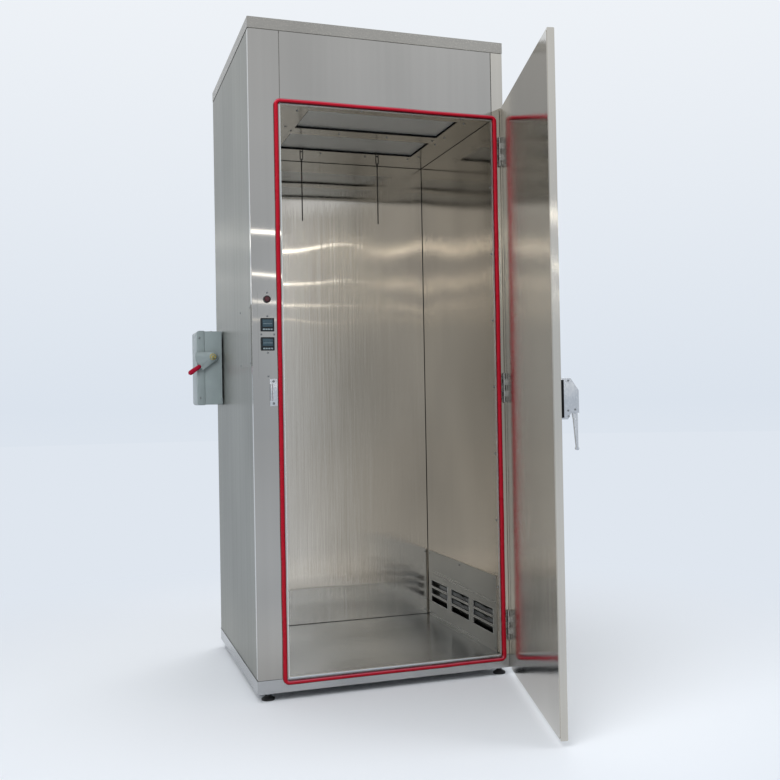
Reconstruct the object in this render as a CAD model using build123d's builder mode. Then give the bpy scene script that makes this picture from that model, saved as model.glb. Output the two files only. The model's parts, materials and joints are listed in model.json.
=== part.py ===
from build123d import *
import os
from math import atan, cos, degrees, radians, sin

# Cleanroom oven, door open: an insulated stainless cabinet with a full-height chamber, two ceiling
# filters, a slotted return grille low on the right wall and one door that closes on a silicone gasket.
# Millimetres. The origin is the centre of the cabinet's footprint at floor level. The front faces -Y.

# Cabinet
cabinet_width = 990
cabinet_depth = 1012
body_height = 2438
foot_height = 31
base_height = 48
base_rail = 40
base_pocket = 30
cap_height = 44
cap_reveal = 3
cap_reveal_depth = 4
sheet = 2
panel_setback = 1.5
edge_radius = 2
front_frame_depth = 25
header_seam = 3
header_seam_depth = 12

# Chamber
left_wall = 114
right_wall = 51
back_wall = 112
plenum_height = 264
floor_liner_thickness = 4
return_duct = 20

# Ceiling filters
filter_width = 590
filter_length = 262
first_filter_from_front = 63
filter_rail = 94
filter_flange_height = 12
filter_clearance = 2
filter_frame_margin = 14
filter_height = 150
filter_face_depth = 4

# Return grille on the right wall
grille_height = 298
grille_from_front = 38
grille_to_back = 20
grille_plate = 3
slot_end_margin = 35
slot_web = 53
slot_height = 26
slot_row_pitch = 35.5
slot_columns = 3
slot_rows = 3
slot_first_row_above_floor = 80
liner_hole_margin = 4
damper_margin = 14
damper_thickness = 1.5
damper_rows = (1, 2)
damper_from_back = 102
damper_strap = 30
damper_below_slot = 2
damper_cover = 17
damper_notch_width = 64
damper_notch_depth = 7
damper_notch_forward = 20

# Door and gasket
door_width = 896.25
door_above_opening = 53
door_thickness = 26
door_drop = 9
door_gap = 14.5
door_edge_inset = 17.75
door_opening = 77
inner_sheet = 2
inner_sheet_margin = 4
inner_sheet_corner = 12
gasket_width = 16
gasket_clearance = 0.5
gasket_crown = 4.5
gasket_corner = 14
gasket_offset_right = 10.5
gasket_offset_left = 15
gasket_offset_top = 9
gasket_offset_bottom = 17

# Hinges
pin_inset = 20
pin_forward = 7.25
hinge_height = 112
hinge_top_inset = 175
hinge_bottom_inset = 173
hinge_knuckles = 5
knuckle_radius = 5.3
knuckle_gap = 0.4
leaf_to_gasket = 1
leaf_thickness = 1.5
pin_radius = 2.5
pin_clearance = 0.05

# Latch
latch_from_edge = 6
latch_length = 42
latch_bottom_above_base = 974
latch_height = 127
latch_standoff = 55
latch_slope_height = 38
latch_slope_start = 30
latch_cheek_height = 20
latch_toe = 20
lever_pivot_height = 30
lever_pivot_standoff = 43
lever_drop = 91
lever_width = 16
lever_eye = 8.5
lever_root = 11
lever_tip_inner = 5
lever_clearance = 1
lever_pin_radius = 3
lever_knob_radius = 5.5
keeper_width = 28
keeper_height = 98
keeper_center_x = 75
keeper_below_plate = 3
keeper_plate = 3
keeper_nose_inset = 1
keeper_nose_width = 8
keeper_nose_height = 60
keeper_nose_depth = 12
keeper_nose_round = 3.5

# Controls on the left post
control_center_x = 55.5
control_width = 66
control_end_margin = 16.5
control_center_above_base = 1290
control_plate_thickness = 2
control_corner = 3
controller_size = 48
controller_depth = 7
upper_controller_rise = 35
lower_controller_drop = 34
pilot_rise = 127
pilot_radius = 13.5
pilot_depth = 14
pilot_sides = 24
pilot_bevel = 3
service_from_front = 18
service_length = 258
service_height = 224
service_center_above_base = 1288

# Disconnect switch on the left side
switch_to_back = 55
switch_length = 170
switch_height = 312
switch_standoff = 6
switch_foot_length = 30
switch_depth = 77
switch_bottom_above_base = 1043
switch_cover_depth = 33
switch_cover_lip = 2
switch_cover_round = 12
switch_corner = 3
handle_pivot_standoff = 45
handle_pivot_height = 203
handle_pivot_radius = 13
handle_hub_length = 13
handle_gap = 0.5
handle_plate_thickness = 4
handle_plate_radius = 73
handle_hub_radius = 21
handle_plate_rise = 55
handle_grip_start = 66
handle_grip_length = 60
handle_grip_width = 20
handle_grip_thickness = 16
handle_angle = 36

# Probes that hang from the ceiling
probe_behind_filter = 31
probe_left_x = 336
probe_right_x = 674
probe_radius = 2.5
probe_length = 300
probe_clip_width = 14
probe_clip_height = 34
probe_clip_depth = 6
probe_clip_wall = 3
probe_gland_radius = 4
probe_gland_height = 8

# Feet
foot_inset = 44
foot_pad_radius = 24.5
foot_pad_sides = 24
foot_pad_height = 7
foot_cone_height = 8
foot_neck_radius = 10.5
foot_neck_height = 4
foot_nut_radius = 11

# Places worked out from the sizes above
left = -cabinet_width / 2
right = cabinet_width / 2
front = -cabinet_depth / 2
back = cabinet_depth / 2
base_bottom = foot_height
base_top = base_bottom + base_height
body_top = base_bottom + body_height
cap_bottom = body_top - cap_height
chamber_left = left + left_wall
chamber_right = right - right_wall
chamber_back = back - back_wall
chamber_center = (chamber_left + chamber_right) / 2
chamber_floor = base_top + floor_liner_thickness
chamber_ceiling = cap_bottom - plenum_height
panel_front = front + front_frame_depth
pin_x = right - pin_inset
pin_y = front - pin_forward
door_bottom = base_bottom - door_drop
door_top = chamber_ceiling + door_above_opening
door_inner = door_gap - pin_forward
door_outer = door_inner + door_thickness
door_hinge_edge = door_edge_inset - pin_inset
leaf_reach = pin_x - (chamber_right + gasket_offset_right + gasket_width / 2) - leaf_to_gasket
door_free_edge = door_hinge_edge + door_width
grille_length = chamber_back - front - grille_from_front - grille_to_back
slot_length = (grille_length - 2 * slot_end_margin - (slot_columns - 1) * slot_web) / slot_columns
slot_column_pitch = slot_length + slot_web
control_center = base_bottom + control_center_above_base
control_height = 2 * (pilot_rise + pilot_radius + control_end_margin)
keeper_center = control_center - control_height / 2 - keeper_below_plate - keeper_height / 2

front_plane = Plane.XZ.offset(-front)
left_side_plane = Plane(origin=(left + panel_setback, 0, 0), x_dir=(0, -1, 0), z_dir=(-1, 0, 0))

# Door coordinates: x runs from the hinge pin to the free edge, y runs out of the outer face, z is up
door_plane = Plane(
    origin=(pin_x, pin_y, 0),
    x_dir=(-cos(radians(door_opening)), -sin(radians(door_opening)), 0),
    z_dir=(0, 0, 1),
)


def rectangle(plane, x_span, y_span, corner=0):
    """A rectangle between two limits along each axis of a plane, with optional round corners."""
    width = x_span[1] - x_span[0]
    height = y_span[1] - y_span[0]
    with BuildSketch(plane) as outline:
        with Locations(((x_span[0] + x_span[1]) / 2, (y_span[0] + y_span[1]) / 2)):
            if corner > 0:
                RectangleRounded(width, height, corner)
            else:
                Rectangle(width, height)
    return outline.sketch


def slab(x_span, y_span, z_span, plane=Plane.XY, mode=Mode.ADD):
    """A block between two limits along each axis, added to or cut from the part being built."""
    extrude(rectangle(plane.offset(z_span[0]), x_span, y_span), amount=z_span[1] - z_span[0], mode=mode)


def finish(part, name):
    """Label a finished piece and write it to its file."""
    part.label = name
    export_step(part, f"parts/{name}.step")


def save_slab(name, x_span, y_span, z_span):
    """A plain rectangular panel."""
    with BuildPart() as panel:
        slab(x_span, y_span, z_span)
    finish(panel.part, name)


def build_base_frame():
    with BuildPart() as base_frame:
        slab((left, right), (front, back), (base_bottom, base_top))
        fillet(base_frame.edges().filter_by(Axis.Z), radius=edge_radius)
        half_width = cabinet_width / 2 - base_rail
        half_depth = cabinet_depth / 2 - base_rail
        pocket = (base_bottom, base_bottom + base_pocket)
        for side in (-1, 1):
            x_span = sorted((side * base_rail / 2, side * half_width))
            slab(x_span, (-half_depth, half_depth), pocket, mode=Mode.SUBTRACT)
    finish(base_frame.part, "base_frame")


def build_feet():
    """Four levelling feet: a round rubber pad that slopes up to a neck, under a hexagonal nut."""
    cone_top = foot_pad_height + foot_cone_height
    neck_top = cone_top + foot_neck_height
    side_step = (foot_pad_radius - foot_neck_radius) * cos(radians(180 / foot_pad_sides))
    cone_slope = degrees(atan(side_step / foot_cone_height))
    for name_y, y in (("front", front + foot_inset), ("back", back - foot_inset)):
        for name_x, x in (("left", left + foot_inset), ("right", right - foot_inset)):
            with BuildPart() as foot:
                with BuildSketch():
                    with Locations((x, y)):
                        RegularPolygon(foot_pad_radius, foot_pad_sides)
                extrude(amount=foot_pad_height)
                with BuildSketch(Plane.XY.offset(foot_pad_height)):
                    with Locations((x, y)):
                        RegularPolygon(foot_pad_radius, foot_pad_sides)
                extrude(amount=foot_cone_height, taper=cone_slope)
                with BuildSketch(Plane.XY.offset(cone_top)):
                    with Locations((x, y)):
                        RegularPolygon(foot_neck_radius, foot_pad_sides)
                extrude(amount=foot_neck_height)
                with BuildSketch(Plane.XY.offset(neck_top)):
                    with Locations((x, y)):
                        RegularPolygon(foot_nut_radius, 6)
                extrude(amount=foot_height - neck_top)
            finish(foot.part, f"foot_{name_y}_{name_x}")


def build_top_cap():
    """Lid with a shadow reveal where it sits on the panels."""
    inset = cap_reveal_depth
    with BuildPart() as top_cap:
        slab((left, right), (front, back), (cap_bottom + cap_reveal, body_top))
        fillet(top_cap.edges().filter_by(Axis.Z), radius=edge_radius)
        chamfer(top_cap.edges().group_by(Axis.Z)[-1], length=edge_radius / 2)
        neck = (cap_bottom, cap_bottom + cap_reveal)
        slab((left + inset, right - inset), (front + inset, back - inset), neck)
    finish(top_cap.part, "top_cap")


def build_walls():
    """Insulated walls, with a return duct inside the right one, the front frame and the roof."""
    outer_left = left + panel_setback
    outer_right = right - panel_setback
    core_left = chamber_left - sheet
    core_right = chamber_right + sheet
    core_back = chamber_back + sheet
    height = (base_top, cap_bottom)
    save_slab("left_side_panel", (outer_left, core_left), (panel_front, core_back), height)
    save_slab("back_panel", (outer_left, outer_right), (core_back, back - panel_setback), height)
    for name, x_span in (("left_post", (outer_left, core_left)), ("right_post", (core_right, outer_right))):
        with BuildPart() as post:
            slab(x_span, (front, panel_front), height)
            outer = post.edges().filter_by(Axis.Z).group_by(Axis.Y)[0].sort_by(Axis.X)
            fillet(outer[0] if name == "left_post" else outer[-1], radius=edge_radius)
        finish(post.part, name)
    save_slab("right_side_panel", (core_right + return_duct, outer_right), (panel_front, core_back), height)
    with BuildPart() as header_panel:
        header_height = (chamber_ceiling + sheet, cap_bottom)
        face_span = (core_left + header_seam, core_right - header_seam)
        slab(face_span, (front, front + header_seam_depth), header_height)
        slab((core_left, core_right), (front + header_seam_depth, panel_front), header_height)
    finish(header_panel.part, "header_panel")
    roof_bottom = chamber_ceiling + filter_flange_height + filter_height
    save_slab("roof_panel", (core_left, core_right), (panel_front, core_back), (roof_bottom, cap_bottom))


def slot_area(margin):
    """Y and Z limits of the whole group of return slots, grown by a margin on every side."""
    length = (slot_columns - 1) * slot_column_pitch + slot_length + 2 * margin
    height = (slot_rows - 1) * slot_row_pitch + slot_height + 2 * margin
    y_center = front + grille_from_front + grille_length / 2
    z_center = chamber_floor + slot_first_row_above_floor + (slot_rows - 1) * slot_row_pitch / 2
    return (
        (y_center - length / 2, y_center + length / 2),
        (z_center - height / 2, z_center + height / 2),
    )


def build_chamber():
    """Sheet lining of the chamber: floor, three walls and the ceiling with two filter openings."""
    core_left = chamber_left - sheet
    core_right = chamber_right + sheet
    core_back = chamber_back + sheet
    height = (base_top, chamber_ceiling)
    save_slab("floor_liner", (chamber_left, chamber_right), (front, chamber_back), (base_top, chamber_floor))
    save_slab("left_liner", (core_left, chamber_left), (front, chamber_back), height)
    save_slab("back_liner", (core_left, core_right), (chamber_back, core_back), height)
    with BuildPart() as right_liner:
        slab((chamber_right, core_right), (front, chamber_back), height)
        slab((chamber_right, core_right), *slot_area(liner_hole_margin), mode=Mode.SUBTRACT)
    finish(right_liner.part, "right_liner")
    with BuildPart() as chamber_ceiling_panel:
        slab((core_left, core_right), (front, core_back), (chamber_ceiling, chamber_ceiling + sheet))
        for y_span in filter_spans():
            outer_x = (chamber_center - filter_width / 2 - sheet, chamber_center + filter_width / 2 + sheet)
            outer_y = (y_span[0] - sheet, y_span[1] + sheet)
            flange = (chamber_ceiling, chamber_ceiling + filter_flange_height)
            slab(outer_x, outer_y, flange)
            slab((outer_x[0] + sheet, outer_x[1] - sheet), y_span, flange, mode=Mode.SUBTRACT)
    finish(chamber_ceiling_panel.part, "chamber_ceiling")


def filter_spans():
    """Y limits of the two filter openings, front one first."""
    first = front + first_filter_from_front
    pitch = filter_length + filter_rail
    return [(first + n * pitch, first + n * pitch + filter_length) for n in range(2)]


def build_filters():
    """Ceiling filters: a frame that sits on the opening's flange, with its face down in the opening."""
    for name, y_span in zip(("filter_front", "filter_rear"), filter_spans()):
        face_x = filter_width / 2 - filter_clearance
        frame_x = filter_width / 2 + filter_frame_margin
        seat = chamber_ceiling + filter_flange_height
        with BuildPart() as ceiling_filter:
            slab(
                (chamber_center - frame_x, chamber_center + frame_x),
                (y_span[0] - filter_frame_margin, y_span[1] + filter_frame_margin),
                (seat, seat + filter_height),
            )
            slab(
                (chamber_center - face_x, chamber_center + face_x),
                (y_span[0] + filter_clearance, y_span[1] - filter_clearance),
                (seat - filter_face_depth, seat),
            )
        finish(ceiling_filter.part, name)


def build_return_grille():
    """Slotted plate over the hole in the right liner, through which air goes back to the return duct."""
    y_center = front + grille_from_front + grille_length / 2
    z_first = chamber_floor + slot_first_row_above_floor
    with BuildPart() as return_grille:
        outline_y = (y_center - grille_length / 2, y_center + grille_length / 2)
        outline_z = (chamber_floor, chamber_floor + grille_height)
        slab((chamber_right - grille_plate, chamber_right), outline_y, outline_z)
        for column in range(slot_columns):
            y = y_center + (column - (slot_columns - 1) / 2) * slot_column_pitch
            for row in range(slot_rows):
                z = z_first + row * slot_row_pitch
                slab(
                    (chamber_right - grille_plate, chamber_right),
                    (y - slot_length / 2, y + slot_length / 2),
                    (z - slot_height / 2, z + slot_height / 2),
                    mode=Mode.SUBTRACT,
                )
    finish(return_grille.part, "return_grille")


def build_damper():
    """Damper behind the upper slot rows: a notched bar along each row, joined by straps behind the webs."""
    y_center = front + grille_from_front + grille_length / 2
    z_first = chamber_floor + slot_first_row_above_floor
    area_y, area_z = slot_area(damper_margin)
    x_span = (chamber_right + sheet, chamber_right + sheet + damper_thickness)
    y_span = (area_y[0], area_y[1] - damper_margin - damper_from_back)
    with BuildPart() as return_damper:
        for row in damper_rows:
            low = z_first + row * slot_row_pitch - slot_height / 2 - damper_below_slot
            high = low + damper_cover + damper_below_slot
            slab(x_span, y_span, (low, high))
            with BuildSketch(Plane.YZ.offset(x_span[0])) as notches:
                for column in range(slot_columns - 1):
                    slot_center = y_center + (column - (slot_columns - 1) / 2) * slot_column_pitch
                    with Locations((slot_center - damper_notch_forward, high)):
                        Polygon(
                            (-damper_notch_width / 2, 0),
                            (0, -damper_notch_depth),
                            (damper_notch_width / 2, 0),
                            align=None,
                        )
            extrude(notches.sketch, amount=damper_thickness, mode=Mode.SUBTRACT)
        for column in range(slot_columns - 1):
            y = y_center + (column + 1 - slot_columns / 2) * slot_column_pitch
            slab(x_span, (y - damper_strap / 2, y + damper_strap / 2), area_z)
    finish(return_damper.part, "return_damper")


def build_gasket():
    """Silicone bulb round the opening: a ring with round corners and a crowned face."""
    half_width = gasket_width / 2
    x_span = (chamber_left - gasket_offset_left, chamber_right + gasket_offset_right)
    z_span = (chamber_floor - gasket_offset_bottom, chamber_ceiling + gasket_offset_top)
    with BuildPart() as door_gasket:
        outer_x = (x_span[0] - half_width, x_span[1] + half_width)
        outer_z = (z_span[0] - half_width, z_span[1] + half_width)
        inner_x = (x_span[0] + half_width, x_span[1] - half_width)
        inner_z = (z_span[0] + half_width, z_span[1] - half_width)
        proud = door_gap - gasket_clearance
        extrude(rectangle(front_plane, outer_x, outer_z, gasket_corner + half_width), amount=proud)
        extrude(
            rectangle(front_plane, inner_x, inner_z, gasket_corner - half_width),
            amount=proud,
            mode=Mode.SUBTRACT,
        )
        chamfer(door_gasket.edges().group_by(Axis.Y)[0], length=gasket_crown)
    finish(door_gasket.part, "door_gasket")


def build_controls():
    """Control plate with a pilot light and two controllers, and the service cover on the side."""
    x = left + control_center_x
    with BuildPart() as control_plate:
        x_span = (x - control_width / 2, x + control_width / 2)
        z_span = (control_center - control_height / 2, control_center + control_height / 2)
        extrude(rectangle(front_plane, x_span, z_span, control_corner), amount=control_plate_thickness)
    finish(control_plate.part, "control_plate")
    face = front_plane.offset(control_plate_thickness)
    for name, z in (
        ("upper_controller", control_center + upper_controller_rise),
        ("lower_controller", control_center - lower_controller_drop),
    ):
        with BuildPart() as controller:
            half = controller_size / 2
            extrude(rectangle(face, (x - half, x + half), (z - half, z + half), 2), amount=controller_depth)
        finish(controller.part, name)
    with BuildPart() as pilot_light:
        with BuildSketch(face):
            with Locations((x, control_center + pilot_rise)):
                RegularPolygon(pilot_radius, pilot_sides)
        extrude(amount=pilot_depth)
        chamfer(pilot_light.edges().group_by(Axis.Y)[0], length=pilot_bevel)
    finish(pilot_light.part, "pilot_light")
    with BuildPart() as service_cover:
        y = front + service_from_front + service_length / 2
        z = base_bottom + service_center_above_base
        y_span = (-y - service_length / 2, -y + service_length / 2)
        z_span = (z - service_height / 2, z + service_height / 2)
        extrude(rectangle(left_side_plane, y_span, z_span, control_corner), amount=control_plate_thickness)
    finish(service_cover.part, "service_cover")


def build_keeper():
    """Strike on the left post: a screwed plate with a rounded nose that the latch draws on."""
    x = left + keeper_center_x
    z = keeper_center
    x_span = (x - keeper_width / 2, x + keeper_width / 2)
    z_span = (z - keeper_height / 2, z + keeper_height / 2)
    nose_low = z - keeper_nose_height / 2
    nose_left = x_span[0] + keeper_nose_inset
    nose_right = nose_left + keeper_nose_width
    face = front - keeper_plate
    with BuildPart() as latch_keeper:
        extrude(rectangle(front_plane, x_span, z_span), amount=keeper_plate)
        with BuildSketch(Plane.XY.offset(nose_low)) as nose:
            Polygon(
                (nose_left, face),
                (nose_left, face - keeper_nose_depth),
                (nose_right, face - keeper_nose_depth),
                (nose_right, face),
                align=None,
            )
            fillet(nose.vertices().group_by(Axis.Y)[0], radius=keeper_nose_round)
        extrude(amount=keeper_nose_height)
    finish(latch_keeper.part, "latch_keeper")


def hinge_half(plane, seat, knuckles, z_span, with_pin):
    """Leaf and knuckles of one half of a butt hinge; the leaf lies on the plane y = seat, x from the pin."""
    pitch = (z_span[1] - z_span[0]) / hinge_knuckles
    side = 1 if seat > 0 else -1
    with BuildPart() as half:
        leaf_y = sorted((seat, seat - side * leaf_thickness))
        slab((0, leaf_reach), leaf_y, z_span, plane=plane)
        for n in knuckles:
            low = z_span[0] + n * pitch + knuckle_gap / 2
            with BuildSketch(plane.offset(low)) as knuckle:
                Circle(knuckle_radius)
                with Locations((knuckle_radius / 2, seat / 2)):
                    Rectangle(knuckle_radius, abs(seat))
            extrude(knuckle.sketch, amount=pitch - knuckle_gap)
        hole = pin_radius if with_pin else pin_radius + pin_clearance
        with BuildSketch(plane.offset(z_span[0])) as pin:
            Circle(hole)
        mode = Mode.ADD if with_pin else Mode.SUBTRACT
        extrude(pin.sketch, amount=z_span[1] - z_span[0], mode=mode)
    return half.part


def build_hinges():
    """Three butt hinges: one half on the right post with the pin, the other on the door's inner face."""
    post_plane = Plane(origin=(pin_x, pin_y, 0), x_dir=(-1, 0, 0), z_dir=(0, 0, 1))
    centers = {
        "bottom": door_bottom + hinge_bottom_inset,
        "middle": (door_bottom + hinge_bottom_inset + door_top - hinge_top_inset) / 2,
        "top": door_top - hinge_top_inset,
    }
    for name, z in centers.items():
        z_span = (z - hinge_height / 2, z + hinge_height / 2)
        fixed = hinge_half(post_plane, -pin_forward, range(0, hinge_knuckles, 2), z_span, True)
        finish(fixed, f"{name}_hinge_post_leaf")
        moving = hinge_half(door_plane, door_inner, range(1, hinge_knuckles, 2), z_span, False)
        finish(moving, f"{name}_hinge_door_leaf")


def build_door():
    """Door slab with rolled outer edges and a polished sheet on its inner face."""
    skin = door_inner + inner_sheet
    with BuildPart() as door_shell:
        slab((door_hinge_edge, door_free_edge), (skin, door_outer), (door_bottom, door_top), plane=door_plane)
        outer = door_shell.faces().sort_by(Axis((0, 0, 0), door_plane.y_dir))[-1]
        fillet(outer.edges(), radius=edge_radius * 2)
    finish(door_shell.part, "door_shell")
    with BuildPart() as door_inner_panel:
        inner_plane = Plane(
            origin=door_plane.from_local_coords((0, door_inner, 0)),
            x_dir=door_plane.x_dir,
            z_dir=door_plane.y_dir,
        )
        x_span = (door_hinge_edge + inner_sheet_margin, door_free_edge - inner_sheet_margin)
        z_span = (-door_top + inner_sheet_margin, -door_bottom - inner_sheet_margin)
        extrude(rectangle(inner_plane, x_span, z_span, inner_sheet_corner), amount=inner_sheet)
    finish(door_inner_panel.part, "door_inner_panel")


def build_latch():
    """Latch housing with a sloped top and two cheeks on the door's outer face, and the lever between them."""
    low = base_bottom + latch_bottom_above_base
    high = low + latch_height
    outer = door_outer + latch_standoff
    near = door_free_edge - latch_from_edge
    far = near - latch_length
    side_plane = Plane(
        origin=door_plane.from_local_coords((far, 0, 0)),
        x_dir=door_plane.y_dir,
        z_dir=door_plane.x_dir,
    )
    pivot = (door_outer + lever_pivot_standoff, low + lever_pivot_height)
    middle = latch_length / 2
    half_slot = lever_width / 2 + lever_clearance
    with BuildPart() as latch_body:
        with BuildSketch(side_plane) as profile:
            with BuildLine():
                Polyline(
                    (door_outer, low),
                    (door_outer + latch_toe, low),
                    (door_outer + latch_slope_start, low + latch_cheek_height),
                    (outer, low + latch_cheek_height),
                    (outer, high - latch_slope_height),
                    (door_outer + latch_slope_start, high),
                    (door_outer, high),
                    close=True,
                )
            make_face()
        extrude(amount=latch_length)
        slot = rectangle(
            side_plane.offset(middle - half_slot),
            (pivot[0] - lever_eye - lever_clearance, outer),
            (low, pivot[1] + lever_eye + lever_clearance),
        )
        extrude(slot, amount=2 * half_slot, mode=Mode.SUBTRACT)
        with BuildSketch(side_plane) as pin:
            with Locations(pivot):
                Circle(lever_pin_radius)
        extrude(pin.sketch, amount=latch_length)
    finish(latch_body.part, "latch_body")
    with BuildPart() as latch_lever:
        start = side_plane.offset(middle - lever_width / 2)
        tip = low - lever_drop
        with BuildSketch(start) as lever:
            with Locations(pivot):
                Circle(lever_eye)
            with BuildLine():
                Polyline(
                    (pivot[0] + lever_root, pivot[1]),
                    (pivot[0] + lever_root, tip),
                    (pivot[0] + lever_tip_inner, tip),
                    (pivot[0] - lever_root / 4, low),
                    (pivot[0] - lever_eye, pivot[1]),
                    close=True,
                )
            make_face()
            with Locations((pivot[0] + (lever_root + lever_tip_inner) / 2, tip)):
                Circle(lever_knob_radius)
            with Locations(pivot):
                Circle(lever_pin_radius + pin_clearance, mode=Mode.SUBTRACT)
        extrude(lever.sketch, amount=lever_width)
    finish(latch_lever.part, "latch_lever")


def build_switch():
    """Disconnect switch: a box that stands off the side panel on two feet, its deep cover and its handle."""
    y_far = back - switch_to_back
    y_near = y_far - switch_length
    z_low = base_bottom + switch_bottom_above_base
    z_high = z_low + switch_height
    panel = left + panel_setback
    box_inner = left - switch_standoff
    box_outer = left - switch_depth
    with BuildPart() as switch_box:
        slab((box_outer, box_inner), (y_near, y_far), (z_low, z_high))
        fillet(switch_box.edges().filter_by(Axis.X), radius=switch_corner)
        for z in (z_low, z_high - switch_foot_length):
            slab((box_inner, panel), (y_near + switch_foot_length, y_far), (z, z + switch_foot_length))
    finish(switch_box.part, "switch_box")
    with BuildPart() as switch_cover:
        slab(
            (box_outer - switch_cover_depth, box_outer),
            (y_near - switch_cover_lip, y_far + switch_cover_lip),
            (z_low - switch_cover_lip, z_high + switch_cover_lip),
        )
        face = switch_cover.faces().sort_by(Axis.X)[0]
        fillet(face.edges().filter_by(Axis.Y), radius=switch_cover_round)
    finish(switch_cover.part, "switch_cover")
    build_switch_handle((left - handle_pivot_standoff, y_near - handle_gap, z_low + handle_pivot_height))


def build_switch_handle(pivot):
    """Round-ended plate on a pivot with a flat grip that reaches out past the cover."""
    along = (-cos(radians(handle_angle)), 0, -sin(radians(handle_angle)))
    pivot_plane = Plane(origin=pivot, x_dir=along, z_dir=(0, -1, 0))
    plate_plane = pivot_plane.offset(handle_hub_length)
    with BuildPart() as switch_handle:
        with BuildSketch(pivot_plane):
            Circle(handle_pivot_radius)
        extrude(amount=handle_hub_length + handle_plate_thickness + 2)
        with BuildSketch(plate_plane) as plate:
            Circle(handle_plate_radius)
            with BuildSketch(mode=Mode.INTERSECT):
                with BuildLine():
                    Polyline(
                        (0, handle_hub_radius),
                        (handle_plate_radius, handle_hub_radius),
                        (handle_plate_radius, -handle_plate_rise),
                        (handle_hub_radius * 2, -handle_plate_rise),
                        (-handle_hub_radius * 0.8, -handle_hub_radius * 0.6),
                        close=True,
                    )
                make_face()
            Circle(handle_hub_radius)
        extrude(plate.sketch, amount=handle_plate_thickness)
        middle = handle_plate_thickness / 2
        grip_plane = plate_plane.offset(middle - handle_grip_thickness / 2)
        grip_end = handle_grip_start + handle_grip_length
        half = handle_grip_width / 2
        grip = rectangle(grip_plane, (handle_grip_start, grip_end), (-half, half), half * 0.8)
        extrude(grip, amount=handle_grip_thickness)
    finish(switch_handle.part, "switch_handle")


def build_probes():
    """Two thin sensors, each hung by a gland from an open bracket behind the rear filter."""
    y = filter_spans()[-1][1] + probe_behind_filter
    low = chamber_ceiling - probe_clip_height
    wall = probe_clip_wall
    y_span = (y - probe_clip_depth / 2, y + probe_clip_depth / 2)
    for name, from_left in (("probe_left", probe_left_x), ("probe_right", probe_right_x)):
        x = left + from_left
        x_span = (x - probe_clip_width / 2, x + probe_clip_width / 2)
        with BuildPart() as probe:
            slab(x_span, y_span, (low, chamber_ceiling))
            hole = (low + wall, chamber_ceiling - wall)
            slab((x_span[0] + wall, x_span[1] - wall), y_span, hole, mode=Mode.SUBTRACT)
            with BuildSketch(Plane.XY.offset(low - probe_gland_height)) as gland:
                with Locations((x, y)):
                    RegularPolygon(probe_gland_radius, 6)
            extrude(gland.sketch, amount=probe_gland_height)
            with BuildSketch(Plane.XY.offset(chamber_ceiling - probe_length)) as rod:
                with Locations((x, y)):
                    Circle(probe_radius)
            extrude(rod.sketch, amount=probe_length - probe_clip_height)
        finish(probe.part, name)


os.makedirs("parts", exist_ok=True)
build_base_frame()
build_feet()
build_top_cap()
build_walls()
build_chamber()
build_filters()
build_return_grille()
build_damper()
build_gasket()
build_controls()
build_keeper()
build_hinges()
build_door()
build_latch()
build_switch()
build_probes()
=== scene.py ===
"""Cleanroom oven with its door open: finishes, fittings, floor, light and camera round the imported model."""

import json
import math

import bmesh
import bpy
from mathutils import Matrix, Vector

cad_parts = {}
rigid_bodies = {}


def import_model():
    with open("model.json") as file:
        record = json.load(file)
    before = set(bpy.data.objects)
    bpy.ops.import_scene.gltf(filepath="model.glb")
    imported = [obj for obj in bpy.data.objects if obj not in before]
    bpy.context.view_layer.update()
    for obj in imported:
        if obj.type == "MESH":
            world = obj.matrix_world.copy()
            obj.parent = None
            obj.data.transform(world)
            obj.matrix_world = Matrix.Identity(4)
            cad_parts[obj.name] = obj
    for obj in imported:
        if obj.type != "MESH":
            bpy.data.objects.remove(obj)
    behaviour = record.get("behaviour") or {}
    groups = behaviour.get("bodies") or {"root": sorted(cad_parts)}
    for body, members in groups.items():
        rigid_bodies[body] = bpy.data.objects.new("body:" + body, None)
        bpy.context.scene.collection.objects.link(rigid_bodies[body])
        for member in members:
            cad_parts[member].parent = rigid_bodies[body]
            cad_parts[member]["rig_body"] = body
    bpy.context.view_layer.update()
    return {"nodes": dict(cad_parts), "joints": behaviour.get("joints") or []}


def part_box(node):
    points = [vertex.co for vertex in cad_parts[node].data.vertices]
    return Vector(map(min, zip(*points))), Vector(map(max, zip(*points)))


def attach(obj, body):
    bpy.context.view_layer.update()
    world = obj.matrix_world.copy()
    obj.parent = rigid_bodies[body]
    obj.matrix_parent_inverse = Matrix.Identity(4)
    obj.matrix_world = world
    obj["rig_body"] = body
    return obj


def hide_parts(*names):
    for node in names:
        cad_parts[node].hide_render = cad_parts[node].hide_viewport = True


bl_info = {
    "name": "Cleanroom oven",
    "version": (1, 0, 0),
    "blender": (4, 5, 0),
    "location": "3D View > Sidebar > Oven",
    "description": "Dresses the packed oven with sheet steel finishes, gasket, screws and fittings",
    "category": "Object",
}

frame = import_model()
nodes = frame["nodes"]


def joint_place(name):
    """Where a joint's axis stands at rest, in metres."""
    return Vector(next(j for j in frame["joints"] if j["name"] == name)["pos_m"])


# Where the cabinet stands in the frame, in metres: its left side, its front and the underside of its base
CABINET_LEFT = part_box("base_frame")[0].x
CABINET_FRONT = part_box("base_frame")[0].y
BASE_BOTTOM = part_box("base_frame")[0].z

# The open door's own directions: along it from the hinge pin to the free edge, and out of its outer face
DOOR_ANGLE = math.radians(77)
PIN = Vector((*joint_place("door_hinge").xy, 0.0))
ALONG_DOOR = Vector((-math.cos(DOOR_ANGLE), -math.sin(DOOR_ANGLE), 0.0))
OUT_OF_DOOR = Vector((math.sin(DOOR_ANGLE), -math.cos(DOOR_ANGLE), 0.0))

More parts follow.
